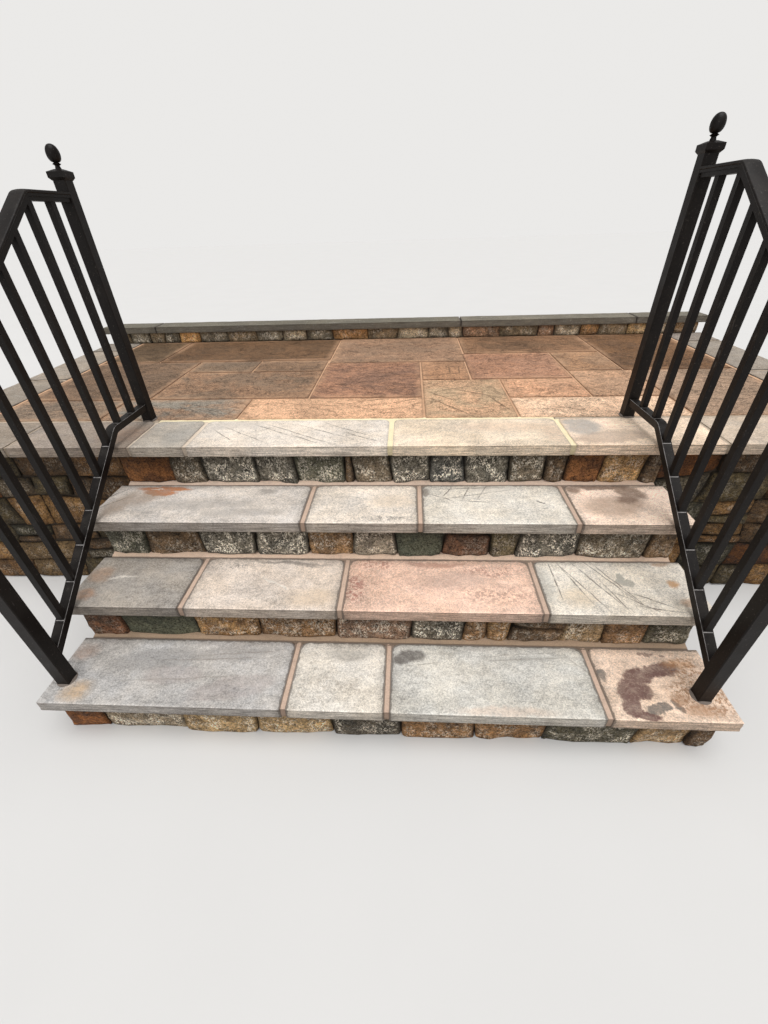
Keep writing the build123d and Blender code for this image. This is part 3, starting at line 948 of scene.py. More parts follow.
# mortar: a comb in each row of slabs, and the bedding of the paving
mortarShape = {
    "cell": 0.012,
    "ease": 0.002,
    "corner": 0.004,
    "overlap": 0.0115,   # how far it runs in under the stone
    "inside": 0.001,     # how far the joints stay inside the rows' fronts and feet,
    "sideInside": 0.002,       # and inside the edges of the side slabs
    "recess": 0.003,
    "topLayer": 0.004,
    "bandBack": 0.030,   # how far the band behind a tread runs in under the riser
    "filletStart": 0.004,      # where the fillet against the riser begins, and its height
    "lift": 0.010,
    "bandMargin": 0.004,
    "sunk": ((0.05, 3, 0.0045),),      # noises of its top: size, depth, strength
    "lumps": ((0.014, 2, 0.0026),),
    "toneJoint": (0.62, 0.45, 0.345),
    "toneDull": (0.50, 0.40, 0.30),
    "toneEdge": (0.98, 0.85, 0.56),
    "tonePale": (0.78, 0.65, 0.52),
    "toneFlags": (0.62, 0.38, 0.23),
    "toneDeep": (0.10, 0.072, 0.048),
}
overlap = mortarShape["overlap"]


def addMortar(low, high, tone, freeSides=("near", "far"), margin=0.0):
    # margin: how much wider the dark margin is than usual; None leaves it out
    strip = addBlock(low, high, mortarShape["cell"], 2, mortarShape["ease"])
    points = pointsOf(strip)
    storeTone(strip, tone)
    rim = 1.0
    if margin is not None:
        rim = rimDistance(points, low, high, freeSides, mortarShape["corner"]) - margin
    storeValue(strip, "rim", rim)
    groupPoints(strip, "top", points[:, 2] > high[2] - mortarShape["topLayer"])
    return strip


def addJoint(place, gap, low, high, tone, margin=0.0):
    # mortar between two slabs of a row, from the row's front and foot to its back and top
    half, inside = gap / 2 + overlap, mortarShape["inside"]
    start = (place - half, low[0] + inside, low[1] + inside)
    return addMortar(start, (place + half, *high), tone, margin=margin)


def finishMortar(name, strips, node):
    comb = joinAs(name, strips)
    roughen(comb, mortarShape["sunk"], "top")
    roughen(comb, mortarShape["lumps"], "top", 0.5)
    finishPiece(comb, mortarFinish, (node,))


for step, row in treadRows.items():
    back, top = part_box(f"tread_{step}")[1].yz
    low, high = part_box(f"tread_mortar_{step}")
    surface = top - mortarShape["recess"]
    band = addMortar(
        (low.x, back - overlap, low.z), (high.x, high.y + mortarShape["bandBack"], surface),
        row["band"], ("left", "right", "far"), mortarShape["bandMargin"],
    )
    points = pointsOf(band)
    behind = points[:, 1] - back - mortarShape["filletStart"]
    rise = np.clip(behind / (high.y - back), 0, 1) * mortarShape["lift"]
    points[:, 2] += np.where(points[:, 2] > high.z - 0.01, rise, 0)
    movePoints(band, points)
    strips = [band]
    for place in row["joints"]:
        start, end = low.yz, (back, surface)
        strips.append(addJoint(place, jointWidth, start, end, mortarShape["toneJoint"]))
    finishMortar(f"treadMortar{step}", strips, f"tread_mortar_{step}")

low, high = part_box("landing_mortar")
pavingLow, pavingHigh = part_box("landing_paving")
surface = edgeHigh.z - mortarShape["recess"]
strips = []
for start, end, tone in (
    (low.x, edgeRow["joints"][1], "toneDull"),
    (edgeRow["joints"][1], edgeRow["joints"][4], "toneEdge"),
    (edgeRow["joints"][4], high.x, "toneDull"),
):
    start, end = (start, edgeHigh.y - overlap, low.z), (end, pavingLow.y + overlap, surface)
    strips.append(addMortar(start, end, mortarShape[tone], margin=None))
for place, gap, tone in zip(edgeRow["joints"], edgeRow["gaps"], edgeRow["mortar"]):
    strips.append(addJoint(place, gap, low.yz, (edgeHigh.y, surface), mortarShape[tone], None))
for start in (pavingLow.x - jointWidth, pavingHigh.x):
    end = (start + jointWidth + overlap, pavingHigh.y, surface)
    strips.append(addMortar((start - overlap, pavingLow.y, low.z), end, mortarShape["toneFlags"]))
for side in ("left", "right"):
    low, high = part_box(f"side_slabs_{side}")
    half = jointWidth / 2 + overlap
    for along in sideRows["joints"]:
        place = low.y + along
        start = (low.x + mortarShape["sideInside"], place - half, low.z + mortarShape["inside"])
        end = (high.x - mortarShape["sideInside"], place + half, surface)
        strips.append(addMortar(start, end, mortarShape["toneDull"], ("left", "right")))
finishMortar("landingMortar", strips, "landing_mortar")
print("mortar pointed")


# paving of the landing: irregular flags on a thin bed
# left, right, near, far, tone, second tone; towards the back the tones carry a painted shade of the
# porch roof as well as the flags' own colour
flags = [
    (-2.122, -1.498, -0.326, -0.026, (0.29, 0.2, 0.135), (0.22, 0.165, 0.12)),
    (-1.490, -0.762, -0.326, -0.026, (0.42, 0.265, 0.17), (0.27, 0.235, 0.19)),
    (-0.754, 0.198, -0.326, -0.032, (0.86, 0.51, 0.31), (0.64, 0.39, 0.24)),
    (0.206, 0.665, -0.326, 0.270, (0.68, 0.42, 0.255), (0.46, 0.32, 0.2)),
    (0.673, 1.500, -0.326, -0.050, (1.0, 0.7, 0.48), (0.86, 0.57, 0.38)),
    (1.508, 2.122, -0.326, 0.418, (0.42, 0.28, 0.19), (0.32, 0.22, 0.15)),
    (-2.122, -1.378, -0.018, 0.745, (0.23, 0.145, 0.09), (0.175, 0.115, 0.075)),
    (-1.370, -0.446, -0.018, 0.484, (0.38, 0.225, 0.135), (0.24, 0.16, 0.105)),
    (-0.438, 0.198, -0.024, 0.660, (0.46, 0.24, 0.145), (0.24, 0.135, 0.09)),
    (0.206, 0.500, 0.278, 0.660, (0.52, 0.285, 0.16), (0.4, 0.225, 0.13)),
    (0.673, 1.112, -0.042, 0.270, (0.84, 0.46, 0.27), (0.58, 0.335, 0.205)),
    (1.120, 1.500, -0.042, 0.418, (0.6, 0.36, 0.22), (0.44, 0.275, 0.175)),
    (-1.370, -0.930, 0.492, 0.745, (0.27, 0.18, 0.115), (0.2, 0.14, 0.095)),
    (-0.922, -0.446, 0.492, 0.745, (0.29, 0.18, 0.11), (0.22, 0.14, 0.09)),
    (0.508, 1.112, 0.278, 0.850, (0.50, 0.26, 0.155), (0.40, 0.22, 0.14)),
    (1.120, 1.462, 0.426, 0.850, (0.44, 0.25, 0.14), (0.31, 0.19, 0.115)),
    (-2.122, -1.700, 0.753, 1.355, (0.16, 0.1, 0.055), (0.125, 0.08, 0.045)),
    (-1.692, -0.438, 0.753, 1.355, (0.18, 0.1, 0.052), (0.14, 0.082, 0.045)),
    (-0.430, 0.512, 0.668, 1.355, (0.4, 0.24, 0.15), (0.29, 0.185, 0.12)),
    (0.520, 1.462, 0.858, 1.355, (0.30, 0.165, 0.09), (0.19, 0.11, 0.062)),
    (1.470, 2.122, 0.426, 1.355, (0.22, 0.115, 0.055), (0.165, 0.092, 0.05)),
]
flagShape = {
    "thickness": 0.030,
    "cell": 0.022,
    "ease": 0.0035,
    "corner": 0.02,
    "tilt": 0.0012,
    "split": ((0.20, 4, 0.0035), (0.05, 3, 0.0020)),   # noises that take the top away
    "bedDrop": 0.0085,
    "seed": 11,
}


def layFlags():
    low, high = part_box("landing_paving")
    rng = random.Random(flagShape["seed"])
    ease = flagShape["ease"]
    laid = []
    for left, right, near, far, tone, second in flags:
        start = (max(left, low.x), max(near, low.y), high.z - flagShape["thickness"])
        end = (min(right, high.x), min(far, high.y), high.z)
        flag = addBlock(start, end, flagShape["cell"], 2, ease)
        points = pointsOf(flag)
        storeTone(flag, tone)
        storeTone(flag, second, "second")
        storeValue(flag, "rim", rimDistance(points, start, end, (), flagShape["corner"]))
        groupPoints(flag, "top", points[:, 2] > high.z - ease * 1.01)
        # each flag sits at its own slight tilt
        for axis in range(2):
            share = (points[:, axis] - start[axis]) / (end[axis] - start[axis])
            points[:, 2] += rng.uniform(-flagShape["tilt"], 0.0) * share
        movePoints(flag, points)
        laid.append(flag)
    paving = joinAs("landingFlags", laid)
    roughen(paving, flagShape["split"], "top")
    finishPiece(paving, flagFinish, ("landing_paving",))
    top = high.z - flagShape["bedDrop"]
    bed = addMortar(low, (high.x, high.y, top), mortarShape["toneFlags"], margin=None)
    bed.name = bed.data.name = "pavingBed"
    finishPiece(bed, mortarFinish)


layFlags()
print("landing paved")


# rubble stones: a block cut into loops, copied to every place, rounded and then weathered
stoneTones = {        # tone, second tone, share of pale crystals
    "rust": ((0.285, 0.125, 0.046), (0.165, 0.075, 0.033), 0.0),
    "orangeBrown": ((0.380, 0.227, 0.107), (0.200, 0.121, 0.061), 0.45),
    "golden": ((0.500, 0.309, 0.134), (0.300, 0.174, 0.076), 0.5),
    "brown": ((0.220, 0.140, 0.076), (0.125, 0.085, 0.052), 0.3),
    "redBrown": ((0.260, 0.130, 0.071), (0.140, 0.085, 0.055), 0.15),
    "greyBrown": ((0.230, 0.179, 0.120), (0.135, 0.111, 0.078), 0.7),
    "olive": ((0.170, 0.140, 0.076), (0.105, 0.087, 0.052), 0.35),
    "darkGrey": ((0.120, 0.109, 0.087), (0.072, 0.069, 0.059), 0.7),
    "granite": ((0.200, 0.179, 0.138), (0.105, 0.097, 0.078), 1.0),
    "paleGranite": ((0.360, 0.314, 0.236), (0.190, 0.164, 0.125), 1.0),
    "slate": ((0.115, 0.125, 0.087), (0.090, 0.101, 0.073), 0.0),
    "greenGrey": ((0.130, 0.125, 0.087), (0.085, 0.085, 0.061), 0.7),
    "blueGrey": ((0.135, 0.132, 0.116), (0.085, 0.085, 0.077), 1.0),
    "tan": ((0.480, 0.347, 0.191), (0.310, 0.217, 0.116), 0.6),
    "yellowTan": ((0.580, 0.444, 0.249), (0.380, 0.280, 0.151), 0.8),
    "pinkBrown": ((0.330, 0.212, 0.142), (0.190, 0.125, 0.087), 0.7),
}
stoneShape = {
    "gap": 0.0014,       # half a joint
    "depth": 0.085,
    "corner": 0.014,     # rounding of the outline, how it varies, and the most that it may
    "cornerRange": (0.6, 1.5),
    "cornerShare": 0.3,  # take of the stone's smaller side
    "rounding": 0.011,   # how far in from the outline the face curves away, the most that this
    "roundShare": 0.2,   # may take of the smaller side, and how deep it goes
    "back": 0.012,
    "belly": 0.003,
    "sunk": 0.005,       # how much deeper than others a stone may lie
    "lean": (0.004, 0.003),    # how far its face leans sideways and upwards
    "facets": 3,         # flat chips off each face, where they start from its middle to its
    "chipStart": (0.0, 0.6),   # edge, and how steep and how deep they are
    "steep": (0.10, 0.34),
    "chipDepth": 0.018,
    "bedBack": 0.021,    # how far the mortar lies behind the faces of the stones
    "darkRimReach": 0.018,      # how far the dark edge and the painted shade of the joints reach over a stone
    # noises of the faces: size, depth, strength
    "weather": ((0.060, 3, 0.012), (0.024, 3, 0.010), (0.009, 2, 0.0045)),
}
# loops of a stone and how far in from its outline the outer ones lie
stoneLoops = {12: (0.0, 0.004, 0.010, 0.019), 6: (0.0, 0.008)}


def makeStoneBase(loops):
    bpy.ops.object.select_all(action="DESELECT")
    bpy.ops.mesh.primitive_cube_add(size=1)
    base = bpy.context.object
    startEditing()
    bpy.ops.mesh.subdivide(number_cuts=loops - 1)
    stopEditing()
    return base


stoneBases = {loops: makeStoneBase(loops) for loops in stoneLoops}


def crowdLoops(share, loops, size):
    # even loops, moved so that the outer ones lie close to the outline
    count = len(stoneLoops[loops])
    outer = np.minimum(np.array(stoneLoops[loops]) / size, 0.3 * np.arange(count) / count)
    inner = np.linspace(outer[-1], 1 - outer[-1], loops + 3 - 2 * count)
    placed = np.concatenate([outer, inner[1:-1], 1 - outer[::-1]])
    return np.interp(share, np.linspace(0, 1, loops + 1), placed)


def reliefOf(local, size, inward, rng):
    # how far back the face of a stone lies: round at its outline, leaning and chipped
    rounding = min(stoneShape["rounding"], size.min() * stoneShape["roundShare"])
    curve = np.clip(1 - inward / rounding, 0, 1)
    relief = stoneShape["back"] * (1 - np.sqrt(1 - curve ** 2))
    across, up = (2 * local / size).T
    relief += stoneShape["belly"] * (across ** 2 + up ** 2) / 2 + rng.uniform(0, stoneShape["sunk"])
    for lean, way in zip(stoneShape["lean"], (across, up)):
        relief += rng.uniform(-lean, lean) * way
    for _ in range(stoneShape["facets"]):
        angle = rng.uniform(0, 2 * math.pi)
        reach = local @ np.array([math.cos(angle), math.sin(angle)])
        chip = reach - rng.uniform(*stoneShape["chipStart"]) * reach.max()
        chip *= rng.uniform(*stoneShape["steep"])
        relief = np.maximum(relief, np.minimum(chip, stoneShape["chipDepth"]))
    return relief


def colourStone(stone, tone, shade, tint, pale):
    *tones, fleck = stoneTones[tone]
    for name, colour in zip(("tone", "second"), tones):
        storeTone(stone, tuple(c * shade * t for c, t in zip(colour, tint)), name)
    storeValue(stone, "fleck", fleck * pale)


def placeStone(
    loops, cell, face, tone, rng, shades, tint=(1, 1, 1), pale=1.0, heights=None, ends=(), deep=None
):
    # cell: four (along, height) corners from low left; face: where along, depth and height lie
    # ends: which of left and right is seen too, on a corner of the wall
    base = stoneBases[loops]
    stone = base.copy()
    stone.data = base.data.copy()
    bpy.context.scene.collection.objects.link(stone)
    lowLeft, lowRight, highRight, highLeft = (np.array(corner) for corner in cell)
    joint = 2 * stoneShape["gap"]
    size = np.array([
        np.linalg.norm(lowRight + highRight - lowLeft - highLeft),
        np.linalg.norm(highLeft + highRight - lowLeft - lowRight),
    ]) / 2 - joint
    share = pointsOf(stone) + 0.5
    local = np.column_stack([
        crowdLoops(share[:, 0], loops, size[0]), crowdLoops(share[:, 2], loops, size[1]),
    ])
    local = (local - 0.5) * size
    corner = stoneShape["corner"] * rng.uniform(*stoneShape["cornerRange"])
    corner = min(corner, size.min() * stoneShape["cornerShare"])
    local = roundCorners(local, -size / 2, size / 2, ends, corner)
    inward = np.clip(rimDistance(local, -size / 2, size / 2, ends, corner), 0, None)
    relief = reliefOf(local, size, inward, rng)
    deep = deep or stoneShape["depth"]
    depth = relief + share[:, 1] * (deep - relief)
    u, v = ((0.5 + local / (size + joint)).T)[:, :, None]
    flat = (lowLeft * (1 - u) + lowRight * u) * (1 - v) + (highLeft * (1 - u) + highRight * u) * v
    movePoints(stone, face(flat[:, 0], depth, flat[:, 1]))
    colourStone(stone, tone, rng.uniform(*shades), tint, pale)
    rim = 1 - np.clip(inward / stoneShape["darkRimReach"], 0, 1)
    seen = np.isclose(share[:, 1], 0)
    for end, place in (("left", 0), ("right", 1)):
        if end in ends:
            onEnd = np.isclose(share[:, 0], place)
            sideways = np.minimum(size[1] / 2 - np.abs(local[:, 1]), deep - depth)
            rim[onEnd] = 1 - np.clip(sideways[onEnd] / stoneShape["darkRimReach"], 0, 1)
            seen |= onEnd
    storeValue(stone, "rim", rim)
    head = (flat[:, 1] - heights[0]) / (heights[1] - heights[0]) if heights else 0.3
    storeValue(stone, "head", head)
    groupPoints(stone, "face", seen)
    return stone


def finishStones(name, stones, node, low, high, scale=1.0):
    # weathered both ways, then kept between the two given corners
    wall = joinAs(name, stones)
    startEditing()
    bpy.ops.mesh.normals_make_consistent(inside=False)
    stopEditing()
    weather = [(size, depth, strength * scale) for size, depth, strength in stoneShape["weather"]]
    roughen(wall, weather, "face", 0.5)
    movePoints(wall, np.clip(pointsOf(wall), np.array(low), np.array(high)))
    finishPiece(wall, rubbleFinish, (node,))


# mortar behind the stones
bedShape = {
    "cell": 0.05,
    "layer": 0.06,
    "ease": 0.004,
    "inside": 0.03,      # how far it ends inside the ends of its wall, and off top and foot
    "apart": 0.001,
    "rough": ((0.06, 2, 0.008),),
}


def addBed(name, low, high, tone=mortarShape["toneDeep"]):
    high = (high[0], high[1], high[2] - bedShape["apart"])
    layers = max(2, round((high[2] - low[2]) / bedShape["layer"]))
    bed = addBlock(low, high, bedShape["cell"], layers, bedShape["ease"])
    storeTone(bed, tone)
    storeValue(bed, "rim", 1.0)
    bed.name = bed.data.name = name
    roughen(bed, bedShape["rough"])
    finishPiece(bed, mortarFinish)


def faceOf(side, level):
    # the face of a wall, as a function from along, depth and height to places
    inward = 1 if side in ("front", "left") else -1

    def place(along, depth, height):
        across = level + inward * depth
        flat = (along, across) if side in ("front", "back") else (across, along)
        return np.column_stack([*flat, height])

    return place


# stones of the risers from left to right: where each ends, its tone and, with a brown stone
# on top, its share of the height
riserStones = {
    1: [
        (-1.090, "rust"), (-0.766, "paleGranite"), (-0.466, "yellowTan"), (-0.175, "yellowTan"),
        (0.095, "darkGrey"), (0.375, "orangeBrown"), (0.646, "orangeBrown"), (0.975, "greenGrey"),
        (1.167, "tan"), (1.245, "brown"),
    ],
    2: [
        (-1.087, "redBrown"), (-0.771, "slate"), (-0.499, "golden"), (-0.174, "orangeBrown"),
        (0.137, "pinkBrown"), (0.350, "granite"), (0.440, "orangeBrown"), (0.533, "golden"),
        (0.742, "brown", 0.55), (0.902, "tan"), (1.068, "orangeBrown"), (1.245, "greenGrey"),
    ],
    3: [
        (-1.057, "greenGrey"), (-0.809, "brown"), (-0.557, "granite"), (-0.319, "granite"),
        (-0.119, "orangeBrown"), (0.068, "paleGranite"), (0.275, "slate"),
        (0.476, "redBrown", 0.80), (0.594, "olive"), (0.850, "granite"), (1.136, "greyBrown"),
        (1.245, "brown"),
    ],
    4: [
        (-1.008, "rust"), (-0.854, "greyBrown"), (-0.595, "granite"), (-0.408, "granite"),
        (-0.175, "greenGrey"), (-0.137, "brown"), (0.040, "greyBrown"), (0.221, "granite"),
        (0.378, "blueGrey"), (0.579, "granite"), (0.742, "greyBrown"), (0.837, "brown"),
        (0.994, "rust"), (1.182, "golden"), (1.245, "brown"),
    ],
}
# how light each riser's stones are, and how much warmer the lower ones: partly their own browner
# stone, partly a painted warm light thrown up from the ground
riserLook = {
    1: {"shades": (0.72, 1.04), "tint": (1.0, 0.90, 0.80)},
    2: {"shades": (0.66, 1.00), "tint": (1.0, 0.92, 0.86)},
    3: {"shades": (0.67, 1.06)},
    4: {"shades": (0.69, 1.08)},
}
riserShape = {
    "seed": 40,
    "plane": 0.008,      # how far in front of the riser the stones are laid,
    "proud": 0.012,      # and how far their faces may come at most
    "lap": 0.006,        # how far they run up behind the slab above
    "sunk": 0.012,       # how far below the tread's top they start
    "lift": 0.016,       # how far the foot of a stone may stand higher
    "slant": 0.012,
    "cut": (0.004, -0.006),    # how much higher the bed under such a top stone starts and ends
    "behind": 0.02,      # how far they may reach behind the riser, and over it
    "over": 0.004,
}


def layRiser(step):
    low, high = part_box(f"riser_{step}")
    rng = random.Random(riserShape["seed"] + step)
    lap, plane, lean = (riserShape[key] for key in ("lap", "plane", "slant"))
    foot = low.z - lap if step == 1 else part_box(f"tread_{step - 1}")[1].z - riserShape["sunk"]
    top = high.z + lap
    face = faceOf("front", low.y - plane)
    stones = []
    left = (low.x, low.x)
    last = len(riserStones[step]) - 1
    for number, (end, tone, *share) in enumerate(riserStones[step]):
        slant = 0 if number == last else rng.uniform(-lean, lean)
        ends = {0: ("left",), last: ("right",)}.get(number, ())
        deep = high.y - low.y + plane if ends else None
        look = {**riserLook[step], "heights": (foot, top), "ends": ends, "deep": deep}
        right = (min(end + slant, high.x), min(end - slant, high.x))
        feet = [foot + rng.uniform(0.0, riserShape["lift"]) * (step > 1) for _ in range(2)]
        lowLeft, lowRight = (left[0], feet[0]), (right[0], feet[1])
        highRight, highLeft = (right[1], top), (left[1], top)
        if share:
            cut = foot + (high.z - foot) * share[0]
            midLeft, midRight = (
                (side[1], cut + rise) for side, rise in zip((left, right), riserShape["cut"])
            )
            cell = (lowLeft, lowRight, midRight, midLeft)
            stones.append(placeStone(12, cell, face, tone, rng, **look))
            lowLeft, lowRight, tone = midLeft, midRight, "brown"
        cell = (lowLeft, lowRight, highRight, highLeft)
        stones.append(placeStone(12, cell, face, tone, rng, **look))
        left = right
    keepLow = (low.x, low.y - riserShape["proud"], low.z)
    keepHigh = (high.x, high.y + riserShape["behind"], high.z + riserShape["over"])
    finishStones(f"riserStones{step}", stones, f"riser_{step}", keepLow, keepHigh)
    inside = bedShape["inside"]
    bedLow = (low.x + inside, low.y + stoneShape["bedBack"], low.z + bedShape["apart"] * (step > 1))
    addBed(f"riserBed{step}", bedLow, (high.x - inside, high.y, high.z))


for step in riserStones:
    layRiser(step)
print("risers built")


# random rubble of the walls, course by course
wallTones = {
    "olive": 9, "brown": 5, "greyBrown": 3, "redBrown": 3, "orangeBrown": 5,
    "golden": 3, "greenGrey": 2, "granite": 1, "rust": 2, "tan": 1,
}
# darker than the risers, a painted shade, and with fewer pale crystals
wallLook = {"shades": (0.30, 0.58), "pale": 0.36, "tint": (1.0, 0.88, 0.72)}
wallShape = {
    "stone": (0.135, 0.24),    # height and length of a usual stone, on the porch and the flanks
    "flankStone": (0.105, 0.20),
    "lengths": (0.55, 1.55),   # shortest and longest stone, as shares of the length,
    "shortest": 0.55,    # and the shortest that may be left for the end of a row
    "quoin": 0.11,
    "wander": 0.32,      # how far a bed joint wanders, in courses, how fast it does so along
    "waves": (4.0, 3.7),       # the wall and from course to course,
    "calm": 0.2,         # and over what length it turns level beside a corner
    "slant": 0.018,
    "split": 0.24,       # share of the stones that lie one on another,
    "splitLength": 1.2,  # how long these are at most
    "splitPart": (0.35, 0.65),
    "proud": 0.01,
    "backIn": 0.003,
}


def layCourses(rng, along, height, stone, face, quoins=(), yields=(), thick=0.0):
    # quoins: ends where deep and shallow corner stones take turns; yields: ends that make
    # room for them
    start, end = along
    foot, top = height
    course, length = stone
    rows = max(1, round((top - foot) / course))
    levels = [foot + (top - foot) * row / rows for row in range(rows + 1)]
    shift = rng.uniform(0, 50)
    names = list(wallTones)
    weights = list(wallTones.values())
    waves = wallShape["waves"]

    def level(row, place):
        if row in (0, rows):
            return levels[row]
        calm = 1.0
        for name, away in (("left", place - start), ("right", end - place)):
            if name in quoins or name in yields:
                calm = min(calm, max(0.0, (away - wallShape["quoin"]) / wallShape["calm"]))
        wander = noise.noise(Vector((place * waves[0], row * waves[1], shift)))
        return levels[row] + calm * course * wallShape["wander"] * wander

    def mix(first, second, part):
        return tuple(a + (b - a) * part for a, b in zip(first, second))

    stones = []
    for row in range(rows):
        reach = wallShape["quoin"] * (row % 2)
        rowStart = start + reach * ("left" in yields)
        rowEnd = end - reach * ("right" in yields)
        left = (rowStart, rowStart)
        while left[0] < rowEnd:
            width = length * rng.uniform(*wallShape["lengths"])
            last = rowEnd - left[0] < width + length * wallShape["shortest"]
            place = rowEnd if last else left[0] + width
            slant = 0 if last else rng.uniform(-wallShape["slant"], wallShape["slant"])
            right = (place + slant, place - slant)
            lowLeft, lowRight = (left[0], level(row, left[0])), (right[0], level(row, right[0]))
            highRight = (right[1], level(row + 1, right[1]))
            highLeft = (left[1], level(row + 1, left[1]))
            atEnds = (("left", left[0] == start), ("right", last))
            ends = tuple(name for name, there in atEnds if there and name in quoins)
            look = {**wallLook, "ends": ends, "deep": thick + reach if ends else None}
            tone = rng.choices(names, weights)[0]
            split = not ends and rng.random() < wallShape["split"]
            if split and place - left[0] < length * wallShape["splitLength"]:
                part = rng.uniform(*wallShape["splitPart"])
                midLeft, midRight = mix(lowLeft, highLeft, part), mix(lowRight, highRight, part)
                cell = (lowLeft, lowRight, midRight, midLeft)
                stones.append(placeStone(6, cell, face, tone, rng, **look))
                tone = rng.choices(names, weights)[0]
                lowLeft, lowRight = midLeft, midRight
            cell = (lowLeft, lowRight, highRight, highLeft)
            stones.append(placeStone(6, cell, face, tone, rng, **look))
            left = right
    return stones


def buildFlank(side):
    # stepped like the treads
    low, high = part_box(f"flank_wall_{side}")
    back, proud = stoneShape["bedBack"], wallShape["proud"]
    face = faceOf(side, low.x if side == "left" else high.x)
    rng = random.Random(f"flank{side}")
    name = side.capitalize()
    stones = []
    foot = low.z
    for step in (1, 2, 3):
        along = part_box(f"riser_{step}")[1].y, high.y
        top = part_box(f"tread_{step}")[0].z
        stones += layCourses(rng, along, (foot, top), wallShape["flankStone"], face)
        bedLow = (low.x + back * (side == "left"), along[0], foot)
        bedHigh = (high.x - back * (side == "right"), high.y, top)
        addBed(f"flankBed{name}{step}", bedLow, bedHigh)
        foot = top
    keepLow, keepHigh = (low.x - proud, low.y, low.z), (high.x + proud, high.y, high.z)
    finishStones(f"flankStones{name}", stones, f"flank_wall_{side}", keepLow, keepHigh)


def buildFront(side):
    low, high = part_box(f"porch_wall_front_{side}")
    inside = bedShape["inside"]
    face = faceOf("front", low.y)
    rng = random.Random(f"front{side}")
    name = side.capitalize()
    along, height = (low.x, high.x), (low.z, high.z)
    thick = high.y - low.y
    stones = layCourses(rng, along, height, wallShape["stone"], face, (side,), (), thick)
    keepLow = (low.x, low.y - wallShape["proud"], low.z)
    keepHigh = (high.x, high.y + wallShape["quoin"], high.z)
    finishStones(f"frontStones{name}", stones, f"porch_wall_front_{side}", keepLow, keepHigh)
    bedLow = (low.x + inside * (side == "left"), low.y + stoneShape["bedBack"], low.z)
    addBed(f"frontBed{name}", bedLow, (high.x - inside * (side == "right"), high.y, high.z))


def buildSide(side):
    low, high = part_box(f"porch_wall_side_{side}")
    back, proud, quoin = stoneShape["bedBack"], wallShape["proud"], wallShape["quoin"]
    face = faceOf(side, low.x if side == "left" else high.x)
    rng = random.Random(f"side{side}")
    name = side.capitalize()
    along, height = (low.y, high.y), (low.z, high.z)
    thick = high.x - low.x
    stones = layCourses(
        rng, along, height, wallShape["stone"], face, ("right",), ("left",), thick,
    )
    keepLow = (low.x - (quoin if side == "right" else proud), low.y, low.z)
    keepHigh = (high.x + (quoin if side == "left" else proud), high.y, high.z)
    finishStones(f"sideStones{name}", stones, f"porch_wall_side_{side}", keepLow, keepHigh)
    bedLow = (low.x + back * (side == "left"), low.y, low.z)
    bedHigh = (high.x - back * (side == "right"), high.y - bedShape["inside"], high.z)
    addBed(f"sideBed{name}", bedLow, bedHigh)


def buildBack():
    low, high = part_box("porch_wall_back")
    face = faceOf("back", high.y - wallShape["backIn"])
    along, height = (low.x, high.x), (low.z, high.z)
    rng = random.Random("back")
    stones = layCourses(rng, along, height, wallShape["stone"], face, (), ("left", "right"))
    finishStones("backStones", stones, "porch_wall_back", low, high)
    addBed("backBed", low, (high.x, high.y - stoneShape["bedBack"], high.z))


for side in ("left", "right"):
    buildFlank(side)
    buildFront(side)
    buildSide(side)
buildBack()
print("walls built")


# low course of stones under the sill, seen over the back of the landing
thresholdStones = [
    (-2.240, "greyBrown"), (-2.066, "granite"), (-1.936, "greyBrown"), (-1.806, "granite"),
    (-1.633, "golden"), (-1.393, "granite"), (-1.146, "greyBrown"), (-0.925, "granite"),
    (-0.723, "paleGranite"), (-0.505, "granite"), (-0.214, "orangeBrown"), (0.035, "greyBrown"),
    (0.281, "paleGranite"), (0.445, "granite"), (0.559, "paleGranite"), (0.859, "pinkBrown"),
    (1.164, "greyBrown"), (1.292, "pinkBrown"), (1.499, "paleGranite"), (1.642, "orangeBrown"),
    (1.862, "greyBrown"), (2.019, "tan"), (2.200, "greyBrown"), (2.400, "brown"),
]
thresholdLook = {"shades": (1.15, 1.60), "pale": 0.75, "tint": (1.0, 0.92, 0.81)}
thresholdShape = {
    "seed": 77,
    "sunk": 0.010,       # how far below the paving the stones start
    "lap": 0.006,        # how far they run up behind the sill, and stand out
    "slant": 0.008,
    "stone": (0.129, 0.21),    # height and length of a usual stone at the back
    "bedFront": 0.020,
    "bedTone": (0.34, 0.26, 0.185),
    "weather": 0.7,
}


def layThreshold():
    low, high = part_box("threshold_course")
    rng = random.Random(thresholdShape["seed"])
    lap, lean, inside = thresholdShape["lap"], thresholdShape["slant"], bedShape["inside"]
    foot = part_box("landing_paving")[1].z - thresholdShape["sunk"]
    face = faceOf("front", low.y)
    top = high.z + lap
    stones = []
    left = (low.x, low.x)
    last = thresholdStones[-1][0]
    for end, tone in thresholdStones:
        slant = 0 if end == last else rng.uniform(-lean, lean)
        right = (end + slant, end - slant)
        cell = ((left[0], foot), (right[0], foot), (right[1], top), (left[1], top))
        ends = ("left",) * (left[0] == low.x) + ("right",) * (end == last)
        stones.append(placeStone(6, cell, face, tone, rng, ends=ends, **thresholdLook))
        left = right
    stones += layCourses(
        random.Random("thresholdBack"), (low.x, high.x), (low.z, high.z), thresholdShape["stone"],
        faceOf("back", high.y - wallShape["backIn"]), ("left", "right"), (), (high.y - low.y) / 2,
    )
    keepLow = (low.x, low.y - lap, low.z)
    weather = thresholdShape["weather"]
    finishStones("thresholdStones", stones, "threshold_course", keepLow, high, weather)
    bedLow = (low.x + inside, low.y + thresholdShape["bedFront"], low.z)
    bedHigh = (high.x - inside, high.y - inside, high.z)
    addBed("thresholdBed", bedLow, bedHigh, thresholdShape["bedTone"])


layThreshold()
for base in stoneBases.values():
    bpy.data.objects.remove(base)
print("threshold built")


